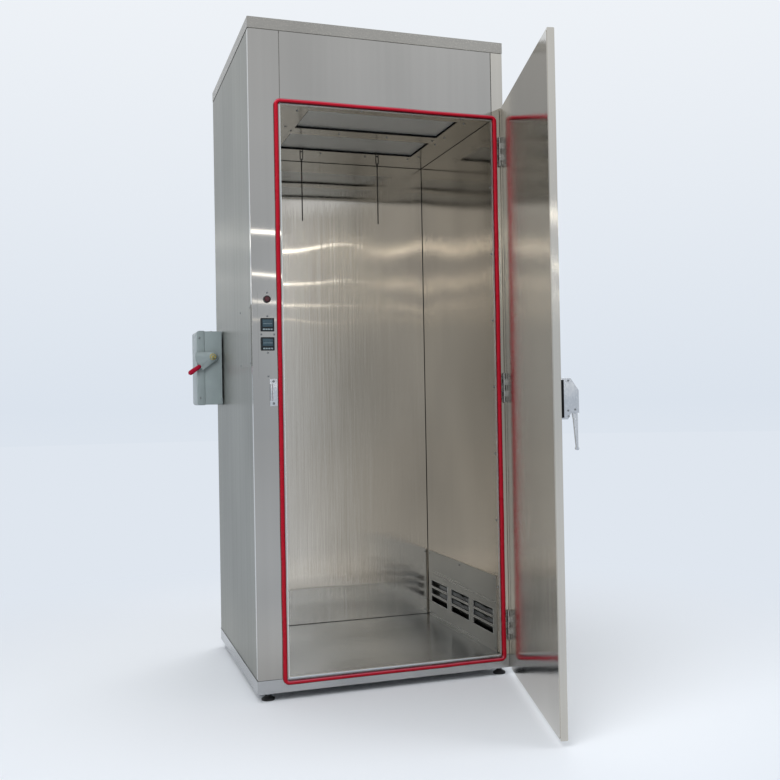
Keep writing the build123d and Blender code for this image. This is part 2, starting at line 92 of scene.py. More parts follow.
# Axes of a shape as it is drawn, right, up and out: lying flat, and facing the front
FLAT = (Vector((1, 0, 0)), Vector((0, 1, 0)), Vector((0, 0, 1)))
FACING_FRONT = (Vector((1, 0, 0)), Vector((0, 0, 1)), Vector((0, -1, 0)))

# Vertices of a CAD node's loose triangles that are nearer than this are one vertex, in metres
SAME_PLACE = 0.00001


def hex_colour(code):
    """An sRGB hex value as linear red, green, blue and alpha."""
    parts = [int(code[n : n + 2], 16) / 255 for n in (1, 3, 5)]
    linear = [p / 12.92 if p <= 0.04045 else ((p + 0.055) / 1.055) ** 2.4 for p in parts]
    return (*linear, 1.0)


def on_cabinet(x, y, z):
    """A point given in millimetres from the cabinet's left side, from its front and above its base."""
    return Vector((CABINET_LEFT + x / 1000, CABINET_FRONT + y / 1000, BASE_BOTTOM + z / 1000))


def on_door(u, v, z):
    """A point in millimetres along the door from its pin, out from the pin, and above the cabinet's base."""
    return PIN + ALONG_DOOR * (u / 1000) + OUT_OF_DOOR * (v / 1000) + Vector((0, 0, BASE_BOTTOM + z / 1000))


def add_node(tree, kind, inputs=None, **settings):
    """Add a node, set its fields, and give its inputs a value or a link from another node's output."""
    node = tree.nodes.new(kind)
    for field, value in settings.items():
        setattr(node, field, value)
    for key, value in (inputs or {}).items():
        if isinstance(key, int):
            socket = node.inputs[key]
        else:
            named = [s for s in node.inputs if s.name == key]
            socket = next((s for s in named if s.enabled), named[0])
        if isinstance(value, bpy.types.NodeSocket):
            tree.links.new(value, socket)
        else:
            socket.default_value = value
    return node


def live_output(node):
    """The output that is in use on a node with one for each type of data."""
    return next(s for s in node.outputs if s.enabled)


def new_material(name):
    """A node material, its tree and the shader that it ends in."""
    material = bpy.data.materials.new(name)
    material.use_nodes = True
    tree = material.node_tree
    tree.nodes.clear()
    shader = add_node(tree, "ShaderNodeBsdfPrincipled")
    add_node(tree, "ShaderNodeOutputMaterial", {"Surface": shader.outputs["BSDF"]})
    return material, tree, shader


def object_point(tree, scale=(1.0, 1.0, 1.0)):
    """Object coordinates, stretched for a pattern with a direction."""
    place = add_node(tree, "ShaderNodeTexCoord").outputs["Object"]
    return add_node(tree, "ShaderNodeMapping", {"Vector": place, "Scale": scale}).outputs["Vector"]


def link_finish(tree, shader, colour, tone, gloss, normal):
    """Give a shader its colour with varying tone, its roughness and its relief."""
    tinted = add_node(tree, "ShaderNodeHueSaturation", {"Color": colour, "Value": tone})
    tree.links.new(tinted.outputs["Color"], shader.inputs["Base Color"])
    tree.links.new(gloss, shader.inputs["Roughness"])
    tree.links.new(normal, shader.inputs["Normal"])


def end_in(tree, surface):
    """End a material in this surface instead of its plain shader."""
    output = next(n for n in tree.nodes if n.type == "OUTPUT_MATERIAL")
    tree.links.new(surface, output.inputs["Surface"])


# Sheet steel and other kinds of surface

# Lines in a metre across the grain and along it. A real grain is about 0.2 mm across. It is drawn 1 mm wide
# here, which blurs a mirrored shape just as evenly. The streaks are the coil's wider bands, 24 mm apart
GRAIN_LINES = (1000.0, 1.1)
STREAK_LINES = (42.0, 0.5)

# Patches in a metre on each axis, where handling has dulled the sheet
PATCHES = (2.1, 2.1, 1.3)


def sheet_steel(
    name,
    colour,
    roughness,
    grain,
    streak=0.02,
    marks=0.12,
    brush=0.00005,
    wave=0.0,
    cells=(1.5, 1.5, 2.3),
):
    """Stainless sheet: nearly a mirror along its grain, blurred across it, and buckled between its folds.

    streak and marks say how far its tone varies between bands and between patches. brush and wave are the
    heights of its grain and its buckles in metres, and cells says how many buckles a metre holds on each
    axis.
    """
    material, tree, shader = new_material(name)
    along_grain = [
        tuple(along if axis == grain else across for axis in "xyz")
        for across, along in (GRAIN_LINES, STREAK_LINES)
    ]
    fine, wide, cloud = (
        add_node(
            tree,
            "ShaderNodeTexNoise",
            {"Vector": object_point(tree, scale), "Scale": 1.0, "Detail": 2.0, "Roughness": contrast},
        ).outputs["Fac"]
        for scale, contrast in zip((*along_grain, PATCHES), (0.5, 0.5, 0.4))
    )
    bands, patches, gloss = (
        add_node(
            tree,
            "ShaderNodeMapRange",
            {
                "Value": source,
                "From Min": 0.5 - reach,
                "From Max": 0.5 + reach,
                "To Min": low,
                "To Max": high,
            },
        ).outputs[0]
        for source, reach, low, high in (
            (wide, 0.25, 1 - streak, 1 + streak),
            (cloud, 0.25, 1 - marks, 1 + marks),
            (wide, 0.2, roughness * 0.9, roughness * 1.1),
        )
    )
    tone = add_node(tree, "ShaderNodeMath", {0: bands, 1: patches}, operation="MULTIPLY").outputs[0]
    relief = add_node(
        tree, "ShaderNodeBump", {"Height": fine, "Strength": 1.0, "Distance": brush}
    ).outputs["Normal"]
    if wave:
        buckle = add_node(
            tree,
            "ShaderNodeTexNoise",
            {"Vector": object_point(tree, cells), "Scale": 1.0, "Detail": 1.0, "Roughness": 0.3},
        ).outputs["Fac"]
        relief = add_node(
            tree, "ShaderNodeBump", {"Height": buckle, "Strength": 1.0, "Distance": wave, "Normal": relief}
        ).outputs["Normal"]
    link_finish(tree, shader, colour, tone, gloss, relief)
    shader.inputs["Metallic"].default_value = 1.0
    shader.inputs["Anisotropic"].default_value = 0.95
    # The blur lies across the grain, which is the plane's direction nearest to this one
    blur = {axis.upper(): 0.0 if axis == grain else 0.7071 for axis in "xyz"}
    tangent = add_node(tree, "ShaderNodeCombineXYZ", blur)
    tree.links.new(tangent.outputs[0], shader.inputs["Tangent"])
    return material


def polished_metal(name, colour, roughness, grain_size=0.004, bump=0.00002):
    """Plated or turned metal with a faint unevenness from casting and polishing."""
    material, tree, shader = new_material(name)
    noise = add_node(
        tree,
        "ShaderNodeTexNoise",
        {"Vector": object_point(tree), "Scale": 1 / grain_size, "Detail": 3.0, "Roughness": 0.6},
    ).outputs["Fac"]
    tone, gloss = (
        add_node(
            tree,
            "ShaderNodeMapRange",
            {"Value": noise, "From Min": 0.3, "From Max": 0.7, "To Min": low, "To Max": high},
        ).outputs[0]
        for low, high in ((0.92, 1.06), (roughness * 0.8, roughness * 1.3))
    )
    relief = add_node(tree, "ShaderNodeBump", {"Height": noise, "Strength": 0.5, "Distance": bump})
    link_finish(tree, shader, colour, tone, gloss, relief.outputs["Normal"])
    shader.inputs["Metallic"].default_value = 1.0
    return material


def moulded(name, colour, roughness, grain_size=0.002, bump=0.00005, variation=0.08, specular=0.5):
    """A plastic, rubber or painted surface: one colour with a fine texture and slight variation of tone."""
    material, tree, shader = new_material(name)
    texture, cloud = (
        add_node(
            tree,
            "ShaderNodeTexNoise",
            {"Vector": object_point(tree), "Scale": scale, "Detail": detail, "Roughness": contrast},
        ).outputs["Fac"]
        for scale, detail, contrast in ((1 / grain_size, 2.0, 0.5), (14.0, 3.0, 0.55))
    )
    tone, gloss = (
        add_node(
            tree,
            "ShaderNodeMapRange",
            {"Value": cloud, "From Min": 0.3, "From Max": 0.7, "To Min": low, "To Max": high},
        ).outputs[0]
        for low, high in ((1 - variation, 1 + variation), (roughness * 0.9, roughness * 1.12))
    )
    relief = add_node(tree, "ShaderNodeBump", {"Height": texture, "Strength": 0.5, "Distance": bump})
    link_finish(tree, shader, colour, tone, gloss, relief.outputs["Normal"])
    shader.inputs["Specular IOR Level"].default_value = specular
    return material


# Settings that a user would change


def length_setting(label, description, default):
    """A length property in metres."""
    return bpy.props.FloatProperty(name=label, description=description, default=default, unit="LENGTH")


def colour_setting(label, description, code):
    """A colour property whose default is an sRGB hex value."""
    return bpy.props.FloatVectorProperty(
        name=label,
        description=description,
        default=hex_colour(code),
        size=4,
        subtype="COLOR",
        min=0.0,
        max=1.0,
    )


class OvenSizes(bpy.types.PropertyGroup):
    """Sizes of the fittings that are dressed on the frame."""

    screw_diameter: length_setting("Screw head", "Diameter of the sheet screws' heads", 0.0085)
    gasket_waviness: length_setting(
        "Gasket waviness", "How far the soft gasket wanders from its straight line", 0.0016
    )
    gasket_corner: length_setting("Gasket corner", "Corner radius at the middle of the gasket", 0.014)
    buckle: length_setting(
        "Sheet buckle", "How deep the chamber's thin sheets buckle between their folds", 0.0085
    )
    seal_width: length_setting("Filter seal", "Width of the black seal round each filter", 0.0019)
    slot_rim: length_setting("Slot rim", "Width of the bright rim round each return slot", 0.0018)


class OvenColours(bpy.types.PropertyGroup):
    """Colours of the finishes that a user would repaint."""

    gasket: colour_setting("Gasket", "Red silicone of the door gasket", "#A00A20")
    grip: colour_setting("Switch grip", "Red plastic of the switch handle's grip", "#98062A")
    enamel: colour_setting("Switch enamel", "Grey enamel of the disconnect switch", "#879293")
    floor: colour_setting("Floor", "Pale floor round the oven", "#F4F8FD")


# Finishes. Each is named for the real material, with what it gives the eye


def panel_steel():
    """Stainless 304 with a vertical No. 4 brush: a soft grey sheet whose highlights run across it."""
    return sheet_steel(
        "stainless_304_brushed_vertical",
        hex_colour("#ABA8A3"),
        0.045,
        "z",
        brush=0.00016,
        wave=0.0022,
        cells=(2.4, 2.4, 1.5),
    )


def side_steel():
    """The sides' and the back's sheet, from a duller coil than the front's."""
    return sheet_steel(
        "stainless_304_brushed_side", hex_colour("#95958F"), 0.32, "z", brush=0.00010, wave=0.0012
    )


def folded_steel():
    """The same sheet folded with its grain lying across, on the cap and above the chamber."""
    return sheet_steel("stainless_304_brushed_across", hex_colour("#A6A29B"), 0.24, "x", wave=0.0006)


def base_steel():
    """The base's sheet, marked by kicks: brighter and cloudier than the cap, with its grain lying across."""
    return sheet_steel(
        "stainless_304_brushed_base", hex_colour("#B3B4B5"), 0.22, "x", streak=0.03, marks=0.2, wave=0.001
    )


def thin_liner(name, code, brush):
    """Thin stainless 304: sharp along its grain, and buckled by its spot welds."""
    buckle = bpy.context.scene.oven_sizes.buckle
    return sheet_steel(
        name, hex_colour(code), 0.045, "z", streak=0.015, brush=brush, wave=buckle, cells=(1.6, 1.6, 1.3)
    )


def liner_steel():
    """The back wall's liner, whose bright brush smears what it mirrors sideways."""
    return thin_liner("stainless_304_bright_brushed_liner", "#C6BFB4", 0.00020)


def side_liner_painted_darker():
    """The side walls' liner: the back's steel painted darker as shade on the side walls, and with a shallower
    brush, so that it mirrors more.
    """
    return thin_liner("stainless_304_fine_brushed_liner_painted_shade", "#ACA395", 0.00005)


def ceiling_steel():
    """The chamber's ceiling sheet, stiff between its flanges, so that it lies flatter than the walls."""
    return sheet_steel("stainless_304_2B_ceiling", hex_colour("#BAB7AF"), 0.20, "x", wave=0.0005)


def floor_steel():
    """The chamber's floor sheet, scuffed by what is rolled in: a blurred mirror with cloudy patches."""
    return sheet_steel(
        "stainless_304_2B_floor",
        hex_colour("#CDD4DC"),
        0.20,
        "x",
        streak=0.03,
        marks=0.25,
        brush=0.00010,
        wave=0.001,
    )


def grille_steel():
    """Punched stainless plate with a matt brush."""
    return sheet_steel(
        "stainless_304_punched_plate", hex_colour("#95948F"), 0.30, "y", streak=0.03, wave=0.0003
    )


def door_lining():
    """The door's and the hinge post's bright sheet: its upright grain smears mirrored shapes sideways."""
    return sheet_steel(
        "stainless_304_bright_brushed_door", hex_colour("#C4BFB6"), 0.06, "z", brush=0.00010, wave=0.0008
    )


def edge_painted_highlight():
    """A sheet's sheared edge, bright from the cut and painted brighter still as the highlight that the edge
    catches.
    """
    return polished_metal("stainless_304_edge_painted_highlight", hex_colour("#E2E3E2"), 0.34)


def cast_chrome():
    """Chrome-plated zinc casting: bright, with soft unevenness from polishing."""
    return polished_metal("zinc_casting_chrome_plated", hex_colour("#C4C6C9"), 0.17, 0.006, 0.00008)


def hinge_steel():
    """Cold-rolled stainless hinge stock, polished."""
    return polished_metal("stainless_304_polished_hinge", hex_colour("#9C9993"), 0.24, 0.003, 0.00003)


def screw_steel():
    """Stainless pan-head screw with a grey tumbled surface."""
    return polished_metal("stainless_a2_screw", hex_colour("#8E9091"), 0.32, 0.001, 0.00001)


def turned_brass():
    """Machined brass bush, slightly tarnished."""
    return polished_metal("brass_turned", hex_colour("#D2BC58"), 0.28, 0.002)


def zinc_plate():
    """Zinc-plated steel nut with a dull bluish film."""
    return polished_metal("steel_zinc_plated", hex_colour("#8C9094"), 0.42, 0.003, 0.00003)


def dark_sheath():
    """Oxidised stainless sheath of a temperature probe."""
    return polished_metal("stainless_316_probe_oxidised", hex_colour("#4A4845"), 0.38, 0.002)


def red_silicone():
    """Extruded red silicone: satin crimson, with painted shade darkening its flanks to black-red and a
    painted pale highlight above its crown.
    """
    colour = bpy.context.scene.oven_colours.gasket
    material = moulded("silicone_red_painted_light", colour, 0.28, 0.003, 0.00004, 0.05, 0.15)
    tree = material.node_tree
    shader = next(n for n in tree.nodes if n.type == "BSDF_PRINCIPLED")
    shaded = shader.inputs["Base Color"].links[0].from_socket
    facing = add_node(tree, "ShaderNodeTexCoord").outputs["Normal"]
    split = add_node(tree, "ShaderNodeSeparateXYZ", {"Vector": facing})
    painted_highlight, painted_flank_shade = hex_colour("#E07F92"), hex_colour("#3C0610")
    # Which way the surface faces, from where and to where the painted shade or highlight grows, that painted
    # colour and its full share
    for axis, low, high, shade, most in (
        ("Z", 0.10, 0.35, painted_highlight, 0.40),
        ("Z", 0.50, 0.85, painted_flank_shade, 0.85),
        ("Z", -0.25, -0.75, painted_flank_shade, 0.85),
        ("X", 0.35, 0.90, painted_flank_shade, 0.60),
    ):
        share = add_node(
            tree,
            "ShaderNodeMapRange",
            {"Value": split.outputs[axis], "From Min": low, "From Max": high, "To Max": most},
        ).outputs[0]
        shaded = live_output(
            add_node(tree, "ShaderNodeMix", {"Factor": share, "A": shaded, "B": shade}, data_type="RGBA")
        )
    tree.links.new(shaded, shader.inputs["Base Color"])
    return material


def grey_enamel():
    """Grey baked enamel on steel sheet, with the slight orange peel of a sprayed coat."""
    return moulded("enamel_baked_grey", bpy.context.scene.oven_colours.enamel, 0.34, 0.004, 0.00008, 0.05)


def red_grip():
    """Dipped red vinyl grip: glossy and thick at its edges."""
    return moulded("vinyl_dipped_red", bpy.context.scene.oven_colours.grip, 0.34, 0.004, 0.00006, 0.06, 0.2)


def controller_case():
    """Black moulded ABS with a fine spark-eroded texture."""
    return moulded("abs_moulded_black", hex_colour("#12181B"), 0.42, 0.0009, 0.00004, 0.10, 0.3)


def controller_window():
    """Smoked polycarbonate window with a bluish anti-glare film."""
    return moulded("polycarbonate_smoked_window", hex_colour("#2B414B"), 0.16, 0.003, 0.00001, 0.10)


def controller_key():
    """Grey silicone keys under the window."""
    return moulded("silicone_key_grey", hex_colour("#7D8B90"), 0.5, 0.001, 0.00003)


def pilot_lens():
    """Dark red acrylic lens, unlit, with a pinkish bloom on its dome."""
    return moulded("acrylic_lens_dark_red", hex_colour("#421118"), 0.18, 0.004, 0.00002, 0.12)


def pilot_bezel():
    """Black nylon ring round the lens."""
    return moulded("nylon_moulded_black", hex_colour("#1E1517"), 0.38, 0.001, 0.00003)


def foot_rubber():
    """Black moulded rubber pad, matt with dust in its pores."""
    return moulded("rubber_moulded_black", hex_colour("#151617"), 0.62, 0.0015, 0.00012, 0.18)


def seal_and_painted_gap_shade():
    """Black closed-cell foam: the seal round each filter, and painted shade in the gaps at the base, in the
    chamber's corners and beside the latch.
    """
    return moulded("black_foam_seal_and_painted_gap_shade", hex_colour("#0B0B0C"), 0.8, 0.0012, 0.0001, 0.15, 0.2)


def filter_sheet():
    """Perforated aluminium over a white pleated filter: round holes in staggered rows, 6 mm apart, painted
    grey inside as shade on the filter behind them.
    """
    material, tree, shader = new_material("aluminium_perforated_filter_face")
    # The holes' grey is painted shade on the white filter behind them
    metal, painted_hole_shade = hex_colour("#DCDEDD"), hex_colour("#8A8D8B")
    pitch = 0.006
    # Where a hole's edge starts and ends, as shares of the pitch
    hole_radius, rim_radius = 0.24, 0.30
    point = object_point(tree, (1 / pitch, 1 / pitch, 1.0))
    x, y = add_node(tree, "ShaderNodeSeparateXYZ", {"Vector": point}).outputs[:2]
    row = add_node(tree, "ShaderNodeMath", {0: y}, operation="FLOOR").outputs[0]
    shift = add_node(tree, "ShaderNodeMath", {0: row, 1: 0.5}, operation="MULTIPLY").outputs[0]
    column = add_node(tree, "ShaderNodeMath", {0: x, 1: shift}, operation="ADD").outputs[0]
    local_x, local_y = (
        add_node(tree, "ShaderNodeMath", {0: place}, operation="FRACT").outputs[0] for place in (column, y)
    )
    local = add_node(tree, "ShaderNodeCombineXYZ", {"X": local_x, "Y": local_y}).outputs["Vector"]
    distance = add_node(
        tree, "ShaderNodeVectorMath", {0: local, 1: (0.5, 0.5, 0.0)}, operation="DISTANCE"
    ).outputs["Value"]
    hole = add_node(
        tree,
        "ShaderNodeMapRange",
        {"Value": distance, "From Min": hole_radius, "From Max": rim_radius, "To Min": 1.0, "To Max": 0.0},
    ).outputs[0]
    colours = add_node(
        tree, "ShaderNodeMix", {"Factor": hole, "A": metal, "B": painted_hole_shade}, data_type="RGBA"
    )
    metallic = add_node(
        tree, "ShaderNodeMath", {0: 0.75, 1: hole}, operation="SUBTRACT", use_clamp=True
    ).outputs[0]
    relief = add_node(
        tree, "ShaderNodeBump", {"Height": hole, "Strength": 0.6, "Distance": 0.0004}, invert=True
    )
    tree.links.new(live_output(colours), shader.inputs["Base Color"])
    tree.links.new(metallic, shader.inputs["Metallic"])
    tree.links.new(relief.outputs["Normal"], shader.inputs["Normal"])
    shader.inputs["Roughness"].default_value = 0.42
    return material


made = {}


def finish(maker):
    """The material that one of the functions above makes, made when it is first asked for."""
    if maker not in made:
        made[maker] = maker()
    return made[maker]


def paint(piece, material):
    """Give a piece this material and no other."""
    piece.data.materials.clear()
    piece.data.materials.append(material)


def dress(maker, *names):
    """Give CAD nodes a finish."""
    for name in names:
        paint(nodes[name], finish(maker))


# Mesh helpers


def new_piece(name, data, maker, body="cabinet"):
    """Link a mesh as a piece that rides on a body."""
    piece = bpy.data.objects.new(name, data)
    bpy.context.scene.collection.objects.link(piece)
    paint(piece, finish(maker))
    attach(piece, body)
    return piece


def mesh_from(bm, name, smooth_angle=None):
    """Turn a bmesh into mesh data with outward faces, smooth up to an angle."""
    bmesh.ops.recalc_face_normals(bm, faces=bm.faces)
    data = bpy.data.meshes.new(name)
    bm.to_mesh(data)
    bm.free()
    if smooth_angle is not None:
        data.shade_smooth()
        data.set_sharp_from_angle(angle=math.radians(smooth_angle))
    return data


def piece_from(bm, name, maker, body="cabinet", smooth_angle=None):
    """Turn a bmesh into a piece."""
    return new_piece(name, mesh_from(bm, name, smooth_angle), maker, body)


def band(bm, low, high):
    """Add the faces between two closed rows of as many vertices."""
    for n in range(len(low)):
        m = (n + 1) % len(low)
        bm.faces.new((low[n], low[m], high[m], high[n]))


def circle(count):
    """The cosine and sine of each of as many even steps round a full turn."""
    turns = [2 * math.pi * n / count for n in range(count)]
    return [(math.cos(turn), math.sin(turn)) for turn in turns]


def turned(bm, profile, centre, axis, segments):
    """Add a shape turned about an axis. The profile gives radius and distance along the axis, in metres."""
    axis = Vector(axis).normalized()
    side = axis.orthogonal().normalized()
    up = axis.cross(side)
    rings = []
    for radius, height in profile:
        middle = Vector(centre) + axis * height
        if radius == 0.0:
            rings.append([bm.verts.new(middle)])
        else:
            rings.append([bm.verts.new(middle + (side * c + up * s) * radius) for c, s in circle(segments)])
    for low, high in zip(rings, rings[1:]):
        if len(low) == 1:
            for n in range(segments):
                bm.faces.new((low[0], high[(n + 1) % segments], high[n]))
        elif len(high) == 1:
            for n in range(segments):
                bm.faces.new((low[n], low[(n + 1) % segments], high[0]))
        else:
            band(bm, low, high)
    return rings


def block(bm, corner, size, axes=FLAT, bevel=0.0):
    """Add a block from its low corner and size along three axes, with rounded edges."""
    made_verts = bmesh.ops.create_cube(bm, size=1.0)["verts"]
    for vert in made_verts:
        local = [vert.co[n] + 0.5 for n in range(3)]
        vert.co = Vector(corner) + sum((axes[n] * (local[n] * size[n]) for n in range(3)), Vector())
    if bevel:
        edges = list({e for v in made_verts for e in v.link_edges})
        bmesh.ops.bevel(bm, geom=edges, offset=bevel, segments=2, profile=0.5, affect="EDGES")


def ring(bm, low, high, width, depth, axes):
    """Add a rectangular ring between two corners, its width inwards and its depth along the third axis."""
    right, up, out = axes
    span_x = (high - low).dot(right)
    span_y = (high - low).dot(up)
    rows = []
    for inset in (0.0, width):
        corners = [
            (inset, inset),
            (span_x - inset, inset),
            (span_x - inset, span_y - inset),
            (inset, span_y - inset),
        ]
        for lift in (0.0, depth):
            rows.append([bm.verts.new(low + right * x + up * y + out * lift) for x, y in corners])
    outer_low, outer_high, inner_low, inner_high = rows
    band(bm, outer_low, outer_high)
    band(bm, outer_high, inner_high)
    band(bm, inner_high, inner_low)
    band(bm, inner_low, outer_low)


def cad_copy(node):
    """A bmesh with a CAD node's shape, its triangles joined."""
    bm = bmesh.new()
    bm.from_mesh(nodes[node].data)
    bmesh.ops.remove_doubles(bm, verts=bm.verts, dist=SAME_PLACE)
    return bm


def rounded_node(node, name, width, segments, maker):
    """A copy of a CAD node with softened edges, which then stands for the node."""
    flat, sharp = math.radians(0.5), math.radians(25)
    bm = cad_copy(node)
    bmesh.ops.dissolve_limit(bm, angle_limit=flat, verts=bm.verts, edges=bm.edges)
    bmesh.ops.bevel(
        bm,
        geom=[e for e in bm.edges if e.is_manifold and e.calc_face_angle(0) > sharp],
        offset=width,
        segments=segments,
        profile=0.5,
        affect="EDGES",
        clamp_overlap=True,
    )
    piece = piece_from(bm, name, maker, nodes[node]["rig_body"], 40)
    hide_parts(node)


# Geometry Nodes


def new_tree(name, sizes):
    """A geometry tree with named inputs, and its input node."""
    tree = bpy.data.node_groups.new(name, "GeometryNodeTree")
    tree.interface.new_socket(name="Geometry", in_out="OUTPUT", socket_type="NodeSocketGeometry")
    for label, kind in {"Geometry": "Geometry", **sizes}.items():
        tree.interface.new_socket(name=label, in_out="INPUT", socket_type=f"NodeSocket{kind}")
    return tree, tree.nodes.new("NodeGroupInput")


def end_tree(tree, geometry, material):
    """Finish a geometry tree with Realize Instances and Set Material."""
    real = add_node(tree, "GeometryNodeRealizeInstances", {"Geometry": geometry})
    coloured = add_node(
        tree, "GeometryNodeSetMaterial", {"Geometry": real.outputs[0], "Material": material}
    )
    add_node(tree, "NodeGroupOutput", {0: coloured.outputs[0]})


def run_tree(name, start, tree, values):
    """Put a tree on a starting mesh with these inputs, and return its result as plain mesh data."""
    holder = bpy.data.objects.new(name, start)
    bpy.context.scene.collection.objects.link(holder)
    modifier = holder.modifiers.new(tree.name, "NODES")
    modifier.node_group = tree
    for item in tree.interface.items_tree:
        if item.in_out == "INPUT" and item.name in values:
            modifier[item.identifier] = values[item.name]
    evaluated = holder.evaluated_get(bpy.context.evaluated_depsgraph_get())
    data = bpy.data.meshes.new_from_object(evaluated)
    data.name = name
    holder.modifiers.clear()
    bpy.data.objects.remove(holder)
    return data


def repeat_tree(name):
    """Places one pattern piece at every point, facing along the point's direction and turned by chance."""
    tree, given = new_tree(
        name, {"Pattern": "Object", "Scale": "Float", "Turn": "Float", "Seed": "Int", "Material": "Material"}
    )
    pattern = add_node(tree, "GeometryNodeObjectInfo", {"Object": given.outputs["Pattern"]})
    facing, size = (
        live_output(add_node(tree, "GeometryNodeInputNamedAttribute", {"Name": label}, data_type=kind))
        for label, kind in (("facing", "FLOAT_VECTOR"), ("size", "FLOAT"))
    )
    lean = add_node(tree, "FunctionNodeAlignRotationToVector", {"Vector": facing}, axis="Z")
    chance = add_node(
        tree,
        "FunctionNodeRandomValue",
        {"Min": 0.0, "Max": given.outputs["Turn"], "Seed": given.outputs["Seed"]},
        data_type="FLOAT",
    )
    spin = add_node(
        tree, "FunctionNodeAxisAngleToRotation", {"Axis": (0, 0, 1), "Angle": live_output(chance)}
    )
    turn = add_node(
        tree,
        "FunctionNodeRotateRotation",
        {"Rotation": lean.outputs[0], "Rotate By": spin.outputs[0]},
        rotation_space="LOCAL",
    )
    scale = add_node(tree, "ShaderNodeMath", {0: size, 1: given.outputs["Scale"]}, operation="MULTIPLY")
    placed = add_node(
        tree,
        "GeometryNodeInstanceOnPoints",
        {
            "Points": given.outputs["Geometry"],
            "Instance": pattern.outputs["Geometry"],
            "Rotation": turn.outputs[0],
            "Scale": scale.outputs[0],
        },
    )
    end_tree(tree, placed.outputs[0], given.outputs["Material"])
    return tree


def points_mesh(name, places):
    """Loose points, each with the direction that it faces and a size."""
    data = bpy.data.meshes.new(name)
    data.from_pydata([p for p, _, _ in places], [], [])
    data.attributes.new("facing", "FLOAT_VECTOR", "POINT")
    data.attributes.new("size", "FLOAT", "POINT")
    for n, (_, direction, scale) in enumerate(places):
        data.attributes["facing"].data[n].vector = direction
        data.attributes["size"].data[n].value = scale
    return data


def repeated_piece(name, shape, places, maker, body="cabinet", scale=1.0, turn=0.0, seed=0):
    """One piece with a shape at each of these places, each turned by chance up to an angle in radians."""
    pattern = bpy.data.objects.new(f"{name}_pattern", shape)
    data = run_tree(
        name,
        points_mesh(f"{name}_points", places),
        repeat_tree(f"{name}_repeat"),
        {"Pattern": pattern, "Scale": scale, "Turn": turn, "Seed": seed, "Material": finish(maker)},
    )
    bpy.data.objects.remove(pattern)
    return new_piece(name, data, maker, body)


def screw_head(name):
    """A pan head of 1 m radius with a cross recess, used small."""
    face, recess_floor, draft = 0.66, 0.28, 0.8
    arm, half_arm_width = 0.46, 0.11
    bm = bmesh.new()
    head = [(1.0, 0.0), (1.0, 0.2), (0.93, 0.42), (0.78, 0.58), (0.6, face)]
    top = turned(bm, head, (0, 0, 0), (0, 0, 1), 20)[-1]
    cross = [
        Matrix.Rotation(math.pi / 2 * n, 3, "Z") @ Vector((x, y, face))
        for n in range(4)
        for x, y in ((half_arm_width, half_arm_width), (arm, half_arm_width), (arm, -half_arm_width))
    ]
    cross.sort(key=lambda point: math.atan2(point.y, point.x))
    upper = [bm.verts.new(point) for point in cross]
    outline = [bm.edges.new(pair) for pair in zip(upper, upper[1:] + upper[:1])]
    rim = [e for e in bm.edges if e.verts[0] in top and e.verts[1] in top]
    bmesh.ops.triangle_fill(bm, edges=outline + rim, use_beauty=True, normal=(0, 0, 1))
    lower = [bm.verts.new((v.co.x * draft, v.co.y * draft, recess_floor)) for v in upper]
    band(bm, upper, lower)
    bm.faces.new(lower)
    return mesh_from(bm, name, 35)


# Pieces


class OVEN_OT_exterior(bpy.types.Operator):
    """Brushed sheet on the cabinet's outside, and painted shade in the seam above its base"""

    bl_idname = "oven.exterior"
    bl_label = "Exterior sheets"

    def execute(self, context):
        dress(panel_steel, "left_post", "header_panel", "control_plate")
        dress(door_lining, "right_post")
        dress(side_steel, "left_side_panel", "right_side_panel", "back_panel", "service_cover")
        dress(folded_steel, "top_cap", "roof_panel")
        dress(base_steel, "base_frame")
        self.base_seam()
        return {"FINISHED"}

    def base_seam(self):
        """Painted shade: thin black strips, a little proud, where the gap between the base and the sheets on
        it lies in shadow, at the front's corners and down the sides.
        """
        low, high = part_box("base_frame")
        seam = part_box("left_post")[0].z
        proud, tall = 0.0003, 0.0012
        left_run, right_run, side_run = 0.094, 0.030, high.y - low.y
        bm = bmesh.new()
        for x, y, across, deep in (
            (low.x - proud, low.y - proud, left_run, 2 * proud),
            (high.x + proud - right_run, low.y - proud, right_run, 2 * proud),
            (low.x - proud, low.y, 2 * proud, side_run),
            (high.x - proud, low.y, 2 * proud, side_run),
        ):
            block(bm, (x, y, seam), (across, deep, tall))
        piece_from(bm, "base_seam", seal_and_painted_gap_shade)


